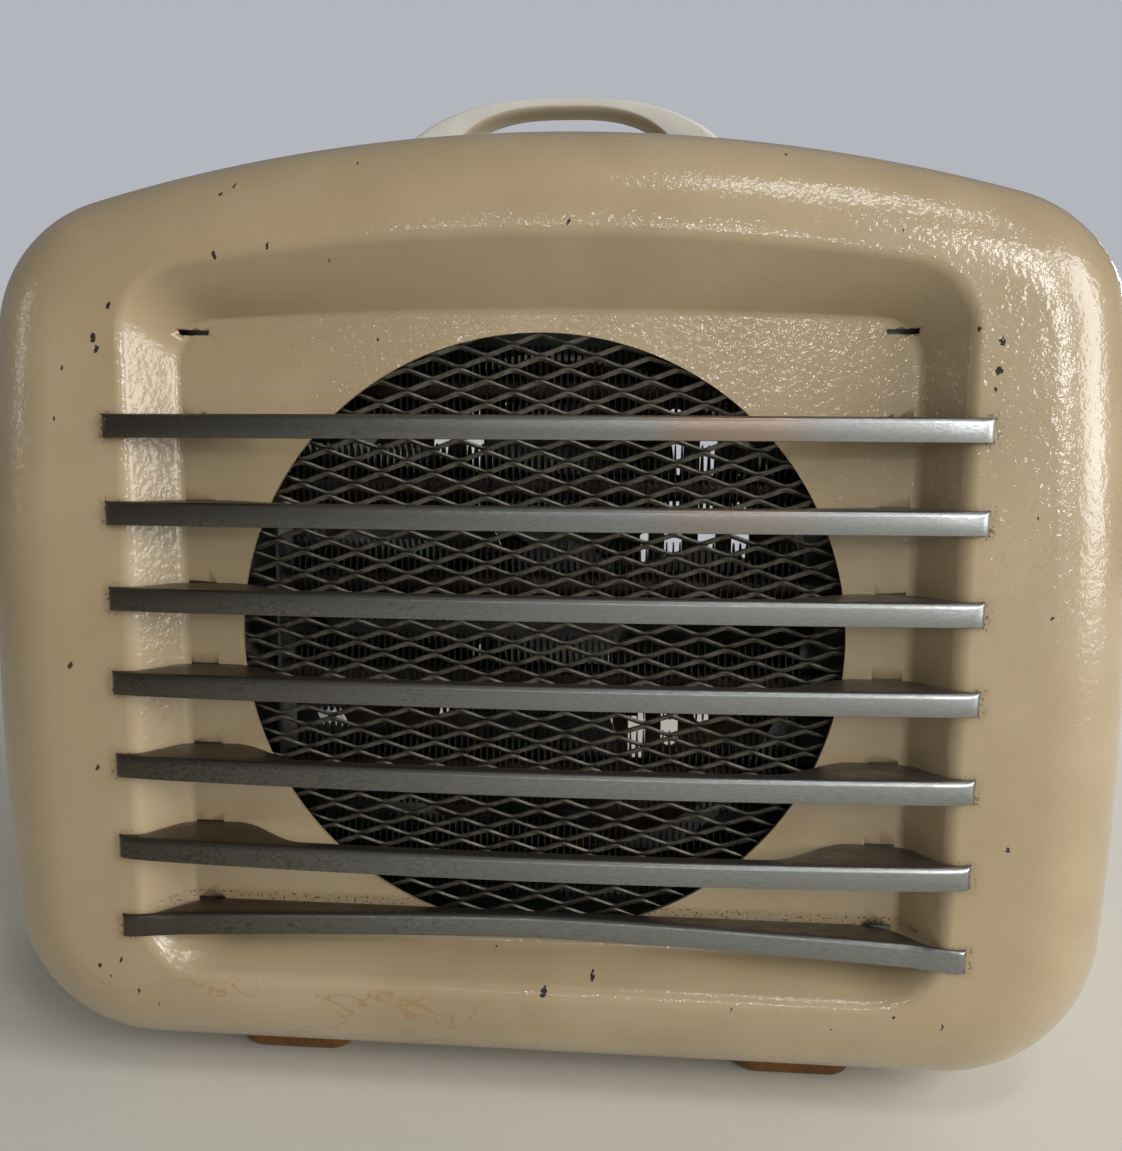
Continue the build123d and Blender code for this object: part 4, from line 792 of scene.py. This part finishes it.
def stain_mask(node, place):
    """Brown tide lines on the lower left of the rim: thin bands where a slow noise crosses one level."""
    x, _, z = node("SeparateXYZ", place).node.outputs
    slow = grain(node, place, 30, (1, 1, 1.6), detail=2.5)
    line = node("MapRange", away(node, slow, 0.5), 0.010, 0.001, **smooth)
    low = node("MapRange", z, axis_z - 104 * MM, axis_z - 110 * MM, **smooth)
    left = node("MapRange", x, 30 * MM, -30 * MM, **smooth)
    return overlap(node, line, low, left)


def bar_material(tint):
    """Aluminium strip, rolled and pressed: fine scratches along its length, and painted light towards the
    right.

    Painted shade darkens and browns it towards the left, where oxide leaves it dark and pitted, a painted warm
    reflection lies on the top bars, and brown dirt lies on the flange behind the bend."""
    material, node, place = start_material("rolled_aluminium", **{"Metallic": 1.0})
    scratch = grain(node, place, 0.45, (0.16, 1, 1), detail=3.0)
    patch = grain(node, place, 8, (0.5, 1, 1), detail=4.0, rough=0.65)
    pits = grain(node, place, 0.9, (0.6, 1, 1), detail=4.0, rough=0.7)
    x, _, z = node("SeparateXYZ", place).node.outputs
    upward = node("SeparateXYZ", node("NewGeometry", output="True Normal"), output="Z")
    flange = node("MapRange", upward, 0.75, 0.95, **smooth)
    wander = node("Math", x, overlap(node, patch, 40 * MM), operation="ADD")
    # Painted light and shade: the bar is lighter towards the right and darker and browner towards the left
    painted_light_to_right = node("MapRange", wander, -130 * MM, 75 * MM, **smooth)
    bright = node("Mix", {0: painted_light_to_right, 6: shaded(tint, 0.31, 0.265, 0.215), 7: tint}, **blend)
    scratched = node("MapRange", scratch, 0.35, 0.65, 0.0, 0.35, **smooth)
    bright = node("Mix", {0: scratched, 6: bright, 7: (0.6, 0.6, 0.6)}, blend_type="MULTIPLY", **blend)
    # A painted warm reflection: a brownish patch on the upper bars, right of the middle
    painted_warm_reflection = overlap(node, node("MapRange", away(node, wander, 74 * MM), 30 * MM, 6 * MM, **smooth),
                   node("MapRange", z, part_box(bar_names[2])[1].z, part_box(bar_names[0])[0].z, **smooth), 0.5)
    bright = node("Mix", {0: painted_warm_reflection, 6: bright, 7: linear("#A98468")}, **blend)
    # Oxide is weighted towards the left, where the painted shade lies
    towards_painted_shade = node("Math", 0.85, overlap(node, painted_light_to_right, 0.75), operation="SUBTRACT")
    oxide = overlap(node, node("MapRange", patch, 0.40, 0.62, **smooth),
                    node("MapRange", pits, 0.44, 0.66, **smooth), towards_painted_shade)
    soil = overlap(node, flange, node("MapRange", patch, 0.25, 0.6, 0.15, 0.65, **smooth))
    colour_now = node("Mix", {0: oxide, 6: bright, 7: linear("#3A362C")}, **blend)
    colour_now = node("Mix", {0: soil, 6: colour_now, 7: linear("#64523E")}, **blend)
    dull = overlap(node, node("Math", oxide, soil, operation="MAXIMUM"), 0.22)
    brushed = node("MapRange", scratch, 0.2, 0.8, 0.29, 0.40, **smooth)
    normal = node("Bump", {"Height": scratch, "Distance": 0.012 * MM})
    normal = node("Bump", {"Height": pits, "Distance": 0.05 * MM, "Normal": normal})
    return finish_material(material, colour_now, node("Math", brushed, dull, operation="ADD"), normal)


def plain_material(name, light, dark, metallic, roughness, millimetres, height, stretch=(1, 1, 1)):
    """A finish of one stuff: two tones mixed by its grain, which also varies the gloss and the surface."""
    material, node, place = start_material(name, **{"Metallic": metallic})
    tone = grain(node, place, millimetres, stretch)
    cloud = grain(node, place, 12 * millimetres, detail=2.0)
    shade = overlap(node, node("Math", tone, cloud, operation="ADD"), 0.5)
    light, dark = (linear(tint) if isinstance(tint, str) else tint for tint in (light, dark))
    colour_now = node("Mix", {0: node("MapRange", shade, 0.36, 0.64, **smooth), 6: dark, 7: light}, **blend)
    gloss = node("MapRange", shade, 0.35, 0.65, roughness * 1.15, roughness * 0.85, **smooth)
    normal = node("Bump", {"Height": tone, "Distance": height * MM})
    return finish_material(material, colour_now, gloss, normal)


def mesh_material(tint):
    """Mild steel mesh, expanded and left bare: a dull bronze-grey skin with brown rust in the joints."""
    material, node, place = start_material("expanded_steel", **{"Metallic": 0.85})
    tone = grain(node, place, 2.5, detail=3.0)
    rust = grain(node, place, 9, detail=4.0, rough=0.65)
    toned = node("MapRange", tone, 0.35, 0.65, **smooth)
    colour_now = node("Mix", {0: toned, 6: shaded(tint, 0.6, 0.6, 0.6), 7: tint}, **blend)
    rusty = node("MapRange", rust, 0.56, 0.72, 0.0, 0.7, **smooth)
    colour_now = node("Mix", {0: rusty, 6: colour_now, 7: linear("#4E3A28")}, **blend)
    return finish_material(material, colour_now, node("MapRange", tone, 0.3, 0.7, 0.36, 0.5, **smooth),
                           node("Bump", {"Height": tone, "Distance": 0.03 * MM}))


def handle_material(tint):
    """Urea moulding, pressed in a polished tool: smooth and pale, with painted shade on its downward-facing
    underside.
    """
    material, node, place = start_material("urea_moulding", **{
        "Metallic": 0.0, "IOR": 1.5, "Subsurface Weight": 0.08, "Subsurface Scale": 0.003})
    cloud = grain(node, place, 18, detail=3.0)
    speck = grain(node, place, 1.2, detail=2.0)
    below = node("SeparateXYZ", node("NewGeometry", output="Normal"), output="Z")
    clouded = node("MapRange", cloud, 0.3, 0.75, **smooth)
    colour_now = node("Mix", {0: clouded, 6: tint, 7: shaded(tint, 0.9, 0.9, 0.9)}, **blend)
    # Painted shade: faces that look downwards are darkened and browned
    painted_underside_shade = node("MapRange", below, 0.1, -0.7, 0.0, 0.75, **smooth)
    colour_now = node("Mix", {0: painted_underside_shade, 6: colour_now, 7: shaded(tint, 0.74, 0.64, 0.50)}, **blend)
    specked = node("MapRange", speck, 0.74, 0.78, **smooth)
    colour_now = node("Mix", {0: specked, 6: colour_now, 7: linear("#6B5B45")}, **blend)
    return finish_material(material, colour_now, node("MapRange", cloud, 0.3, 0.7, 0.38, 0.28, **smooth),
                           node("Bump", {"Height": cloud, "Distance": 0.05 * MM}))


def dress(names, material):
    """Gives CAD nodes their finish."""
    for name in names:
        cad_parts[name].data.materials.clear()
        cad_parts[name].data.materials.append(material)


def settle(piece, material, body, slot, *nodes):
    """Gives a new piece its finish, its body and the nodes that it stands for."""
    piece.data.materials.append(material)
    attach(piece, body)
    if nodes:
        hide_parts(*nodes)
    return piece


# Operators


class HeaterCase(bpy.types.Operator):
    """Builds the case with its recess, outlet, tab slots and weld studs"""
    bl_idname = "heater.case"
    bl_label = "Case"

    def execute(self, context):
        scene = context.scene
        settings, bars = scene.heater_case, scene.heater_bars
        panel_y = seal_low.y - settings.gauge
        sheet = sheet_points(case_points(settings, panel_y), settings.gauge)
        piece = add_surface("case", sheet, close_rows=True, close_columns=True, sharp=60.0)
        tops = [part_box(bar_names[0])[1].z + bars.pitch] + [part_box(name)[1].z for name in bar_names]
        spare = 0.15 * MM
        half, lower, before, behind = bars.tab_length / 2 + spare, -bars.gauge - spare, 3 * MM, 4 * MM
        profile = [(-half, 0, lower), (half, 0, lower), (half, 0, spare), (-half, 0, spare)]
        fronts = [(side * bars.tab_place, panel_y - before, top) for side in (-1, 1) for top in tops]
        cutter = add_prisms("slots", profile, fronts, [(x, panel_y + behind, z) for x, y, z in fronts])
        cut = piece.modifiers.new("slots", "BOOLEAN")
        cut.object, cut.operation, cut.solver = cutter, "DIFFERENCE", "EXACT"
        even = piece.modifiers.new("even", "WEIGHTED_NORMAL")
        even.keep_sharp, even.weight = True, 80
        context.view_layer.update()
        finished_mesh(piece)
        bpy.data.objects.remove(cutter)
        enamel = enamel_material("stove_enamel_worn", scene.heater_colours.enamel, True)
        settle(piece, enamel, "root", "cream_enamel", "case_shell")
        self.add_studs(tops, bars.gauge / 2)
        return {"FINISHED"}

    def add_studs(self, tops, lower):
        """Four stepped studs, turned from a profile, that hold the heater box."""
        shoulder, thread, nut_radius, past_nut = 3.4 * MM, 2.0 * MM, 3.5 * MM, 1.5 * MM
        x = nuts_high.x - nut_radius
        step, end = mesh_high.y - seal_low.y, nuts_high.y - seal_low.y + past_nut
        profile = [(0, 0), (shoulder, 0), (shoulder, step), (thread, step), (thread, end), (0, end)]
        heights = [(tops[0] + tops[1]) / 2, (tops[-2] + tops[-1]) / 2]
        studs = np.stack([revolve(profile, (side * x, seal_low.y, height - lower), 24)
                          for side in (-1, 1) for height in heights])
        piece = add_surface("case_studs", studs, close_columns=True, sharp=40.0)
        steel = plain_material("welded_stud_steel", "#9A9A98", "#6E6C68", 1.0, 0.4, 1.5, 0.02)
        settle(piece, steel, "root", "screw_steel")


class HeaterBars(bpy.types.Operator):
    """Builds the seven louvre bars with their tabs"""
    bl_idname = "heater.bars"
    bl_label = "Louvre bars"

    def execute(self, context):
        settings, case = context.scene.heater_bars, context.scene.heater_case
        panel_y = seal_low.y - case.gauge
        metal = bar_material(context.scene.heater_colours.aluminium)
        half, gauge = settings.tab_length / 2, settings.gauge
        front, back, hook = -0.2 * MM, case.gauge + 0.05 * MM, -5 * MM
        profile = [(0, front, 0), (0, back + gauge, 0), (0, back + gauge, hook), (0, back, hook),
                   (0, back, -gauge), (0, front, -gauge)]
        for number, name in enumerate(bar_names):
            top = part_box(name)[1].z
            points = bar_points(settings, case, panel_y, top, low=number == len(bar_names) - 1)
            piece = add_surface(name + "_pressed", points, close_columns=True, sharp=38.0)
            settle(piece, metal, "root", "bar_aluminium", name)
            starts = [(side * settings.tab_place - half, panel_y, top) for side in (-1, 1)]
            tabs = add_prisms(name + "_tabs", profile, starts, [(x + 2 * half, y, z) for x, y, z in starts])
            settle(tabs, metal, "root", "bar_aluminium")
        return {"FINISHED"}


class HeaterMesh(bpy.types.Operator):
    """Builds the expanded mesh behind the outlet"""
    bl_idname = "heater.mesh"
    bl_label = "Expanded mesh"

    def execute(self, context):
        settings = context.scene.heater_mesh
        radius = (mesh_high.x - mesh_low.x) / 2
        points = mesh_points(settings, radius, (mesh_low.y + mesh_high.y) / 2)
        piece = add_surface("expanded_mesh", points, close_columns=True, sharp=40.0)
        bare_steel = mesh_material(context.scene.heater_colours.mesh)
        settle(piece, bare_steel, "root", "mesh_steel", "outlet_mesh")
        return {"FINISHED"}


class HeaterElements(bpy.types.Operator):
    """Builds the three heating elements with their crimped fins"""
    bl_idname = "heater.elements"
    bl_label = "Heating elements"

    def execute(self, context):
        settings = context.scene.heater_mesh
        sheath_metal = plain_material("scaled_steel_sheath", "#4A433C", "#26211D", 0.8, 0.5, 3, 0.03)
        # Painted shade: the fins' dark oxidised steel is taken darker still, for the dim inside of the case
        fin_metal = plain_material("oxidised_fin_steel_with_painted_shade", "#3E3C39", "#1E1C1A", 0.7, 0.5, 4, 0.02)
        cad_fin_height, reach = 28 * MM, 82 * MM
        count = int(2 * reach / settings.fin_pitch)
        for name in element_names:
            low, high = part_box(name)
            upper, lower = high.z - cad_fin_height / 2, low.z + cad_fin_height / 2
            y = (low.y + high.y) / 2
            sheath = add_surface(name + "_sheath", sheath_points(settings, low, high, upper, lower, y),
                                 close_columns=True)
            settle(sheath, sheath_metal, "root", "element_steel", name)
            places = [(x, y, z) for z in (upper, lower) for x in np.linspace(-reach, reach, count)]
            fins = add_surface(name + "_fins", fin_points(settings, places), close_rows=True,
                               close_columns=True, sharp=40.0)
            settle(fins, fin_metal, "root", "element_steel")
        return {"FINISHED"}


class HeaterHandle(bpy.types.Operator):
    """Builds the moulded carrying handle"""
    bl_idname = "heater.handle"
    bl_label = "Handle"

    def execute(self, context):
        points = handle_points(context.scene.heater_handle, (handle_low.y + handle_high.y) / 2)
        piece = add_surface("carrying_handle", points, close_columns=True, sharp=50.0)
        moulding = handle_material(context.scene.heater_colours.moulding)
        settle(piece, moulding, "root", "cream_enamel", "handle")
        return {"FINISHED"}


class HeaterFeet(bpy.types.Operator):
    """Builds the four rubber feet"""
    bl_idname = "heater.feet"
    bl_label = "Feet"

    def execute(self, context):
        tint = context.scene.heater_colours.rubber
        rubber = plain_material("moulded_rubber", tint, shaded(tint, 0.5, 0.5, 0.5), 0.0, 0.38, 2, 0.05)
        forward = 4 * MM
        for name in foot_names:
            low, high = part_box(name)
            if low.y < 0:
                low.y, high.y = low.y - forward, high.y - forward
            piece = add_surface(name + "_moulding", foot_points(low, high), close_columns=True, sharp=60.0)
            settle(piece, rubber, "root", "foot_rubber", name)
        return {"FINISHED"}


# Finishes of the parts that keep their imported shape, as nodes, name, light and dark tone, metallic,
# roughness, the grain's size and its height in millimetres, and how the grain is stretched along X, Y and Z
plain_finishes = [
    (["outlet_seal"], "pressed_felt", "#6A6660", "#45413C", 0.0, 0.95, 0.6, 0.2),
    (["heater_box", "fan_shroud", "element_support", "motor_strap"],
     "zinc_plated_sheet", "#8E908F", "#6F706C", 1.0, 0.42, 6, 0.02),
    (["box_nuts", "foot_nuts", "motor_nuts", "shroud_screws", "strap_screws", "hub_screw", "motor_bolts",
      "handle_screws", "foot_screws", "cutout_screws", "inlet_screws", "cover_screws", "element_terminals",
      "switch_nut"], "nickel_plated_steel", "#B9B5AC", "#8D877C", 1.0, 0.28, 1, 0.01),
    (["element_beads"], "glazed_steatite", "#E4DFD2", "#CFC7B6", 0.0, 0.22, 3, 0.02),
    (["element_glands", "inlet_pins"],
     "turned_brass", "#B8954F", "#8A6A34", 1.0, 0.3, 0.5, 0.01, (0.2, 1, 1)),
    (["bearing_front", "bearing_rear"], "sintered_bronze", "#9A6F43", "#6E4A2A", 1.0, 0.5, 0.4, 0.03),
    (["thermal_cutout", "switch_body", "switch_knob", "inlet_body", "coil_bobbin"],
     "moulded_bakelite", "#2A1C15", "#140D0A", 0.0, 0.25, 5, 0.02),
    (["fan_blades", "fan_hub"], "pressed_aluminium", "#B8B8B6", "#8F8E8A", 1.0, 0.38, 2, 0.02),
    (["front_casting", "rear_casting"], "cast_aluminium", "#A2A29E", "#7C7B77", 1.0, 0.55, 0.8, 0.08),
    (["motor_shaft", "switch_spindle"],
     "ground_steel", "#A8A8A6", "#85837F", 1.0, 0.25, 0.3, 0.01, (1, 0.1, 1)),
    (["motor_rotor", "motor_stack"],
     "varnished_laminations", "#3A3634", "#1E1B1A", 0.6, 0.45, 0.6, 0.05, (0.1, 1, 0.1)),
    (["motor_coil"], "varnished_winding", "#6B2F14", "#3A1609", 0.3, 0.3, 0.6, 0.15, (1, 0.15, 0.15)),
    (["motor_grommets"], "grommet_rubber", "#2B2624", "#171413", 0.0, 0.6, 1.5, 0.03)]


class HeaterInside(bpy.types.Operator):
    """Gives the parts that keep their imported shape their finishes"""
    bl_idname = "heater.inside"
    bl_label = "Remaining parts"

    def execute(self, context):
        enamel = enamel_material("stove_enamel_plain", context.scene.heater_colours.enamel, False)
        dress(["rear_cover"], enamel)
        for names, *finish in plain_finishes:
            dress(names, plain_material(*finish))
        return {"FINISHED"}


# The room's windows as lamps: name, place and size in metres, and power in watts
window_lamps = [
    ("tall_window", (1.26, -1.80, 1.00), (0.34, 1.50), 22),
    ("side_window", (2.05, -0.93, 0.82), (1.00, 1.70), 34),
    ("high_window", (0.42, -0.62, 1.35), (0.60, 0.14), 2.2),
    ("far_window", (0.24, -1.55, 0.56), (0.22, 0.10), 1.2),
    ("far_pane", (-0.22, -1.55, 0.54), (0.10, 0.07), 0.5),
    ("rear_window", (1.50, 1.90, 0.42), (1.20, 0.70), 30),
    ("left_window", (-1.1, -0.35, 0.42), (0.06, 0.4), 0.3)]


class HeaterStage(bpy.types.Operator):
    """Sets the pale floor, the window lamps, the pale surroundings and the camera"""
    bl_idname = "heater.stage"
    bl_label = "Stage"

    def execute(self, context):
        scene = context.scene
        self.add_floor(context)
        for lamp in window_lamps:
            self.add_lamp(*lamp)
        self.set_world(scene)
        self.add_camera(scene)
        scene.view_settings.view_transform = "Standard"
        return {"FINISHED"}

    def add_floor(self, context):
        """A wide level sheet under the feet, which fades into the backdrop far away."""
        reach, behind = np.linspace(-6.0, 6.0, 5), 2.0
        sheet = np.stack(np.broadcast_arrays(reach[None, :], reach[:, None] + behind, 0.0), -1)
        floor = add_surface("floor", sheet, sharp=60.0)
        material, node, place = start_material("matt_paper", **{"Roughness": 0.8, "IOR": 1.45})
        ground = context.scene.heater_colours.ground
        toned = node("MapRange", grain(node, place, 4.0), 0.3, 0.7, **smooth)
        paper = node("Mix", {0: toned, 6: shaded(ground, 0.985, 0.985, 0.985), 7: ground}, **blend)
        finish_material(material, paper)
        nodes = material.node_tree.nodes
        away_from_middle = node("VectorMath", place, operation="LENGTH", output="Value")
        far = node("MapRange", away_from_middle, 0.8, 2.4, **smooth)
        faded = node("MixShader", overlap(node, far, node("LightPath", output="Is Camera Ray")),
                     nodes["Principled BSDF"].outputs["BSDF"], node("Emission", backdrop))
        material.node_tree.links.new(faded, nodes["Material Output"].inputs["Surface"])
        floor.data.materials.append(material)
        if floor.data.polygons[0].normal.z < 0:
            floor.data.flip_normals()

    def add_lamp(self, name, place, extent, power):
        """A rectangular lamp that looks at the middle of the heater."""
        lamp = bpy.data.lights.new(name, "AREA")
        lamp.shape, lamp.size, lamp.size_y, lamp.energy = "RECTANGLE", extent[0], extent[1], power
        holder = bpy.data.objects.new(name, lamp)
        bpy.context.scene.collection.objects.link(holder)
        aim = (cad_low + cad_high) / 2 - Vector(place)
        holder.location = place
        holder.rotation_euler = aim.to_track_quat("-Z", "Y").to_euler()

    def set_world(self, scene):
        """Even dim light all round, and a pale backdrop where the camera sees past the heater."""
        world = bpy.data.worlds.new("white_room")
        world.use_nodes = True
        tree = world.node_tree
        tree.nodes.clear()
        node = partial(add_node, tree)
        rays = node("LightPath").node.outputs
        seen = node("Math", rays["Is Camera Ray"], rays["Is Transmission Ray"], operation="MAXIMUM")
        dim = node("Background", linear("#F4F2F0"), 0.20)
        node("OutputWorld", node("MixShader", seen, dim, node("Background", backdrop, 1.0)))
        scene.world = world

    def add_camera(self, scene):
        """The photograph's view: fitted to the outlet's circle, the bars' pitch and the tab slots."""
        camera = bpy.data.cameras.new("camera")
        camera.lens, camera.sensor_width = 31.28, 36.0
        camera.clip_start, camera.clip_end = 0.01, 30.0
        holder = bpy.data.objects.new("camera", camera)
        scene.collection.objects.link(holder)
        right, down, ahead = ((0.99699, 0.07710, 0.00812), (0.01667, -0.11092, -0.99369),
                              (-0.07571, 0.99083, -0.11187))
        turn = Matrix((right, [-value for value in down], [-value for value in ahead])).transposed()
        seat = (0.03002, -0.37966, 0.20072)
        holder.matrix_world = Matrix.Translation(seat) @ turn.to_4x4()
        scene.camera = holder


class HeaterPanel(bpy.types.Panel):
    """Lists the heater's pieces and sizes"""
    bl_idname = "VIEW3D_PT_heater"
    bl_label = "Fan heater"
    bl_space_type = "VIEW_3D"
    bl_region_type = "UI"
    bl_category = "Heater"

    def draw(self, context):
        for operator in operators:
            self.layout.operator(operator.bl_idname)
        for name in setting_groups:
            group = getattr(context.scene, name)
            box = self.layout.box()
            for key in group.__annotations__:
                box.prop(group, key)


operators = (HeaterStage, HeaterCase, HeaterBars, HeaterMesh, HeaterElements, HeaterHandle, HeaterFeet,
             HeaterInside)
setting_groups = {"heater_case": HeaterCaseSettings, "heater_bars": HeaterBarSettings,
                  "heater_mesh": HeaterMeshSettings, "heater_handle": HeaterHandleSettings,
                  "heater_colours": HeaterColourSettings}


def register():
    for item in (*setting_groups.values(), *operators, HeaterPanel):
        bpy.utils.register_class(item)
    for name, group in setting_groups.items():
        setattr(bpy.types.Scene, name, bpy.props.PointerProperty(type=group))


def unregister():
    for name in setting_groups:
        delattr(bpy.types.Scene, name)
    for item in reversed((*setting_groups.values(), *operators, HeaterPanel)):
        bpy.utils.unregister_class(item)


def main():
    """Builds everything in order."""
    register()
    bpy.ops.heater.stage()
    bpy.ops.heater.case()
    bpy.ops.heater.bars()
    bpy.ops.heater.mesh()
    bpy.ops.heater.elements()
    bpy.ops.heater.handle()
    bpy.ops.heater.feet()
    bpy.ops.heater.inside()


if __name__ == "__main__":
    main()
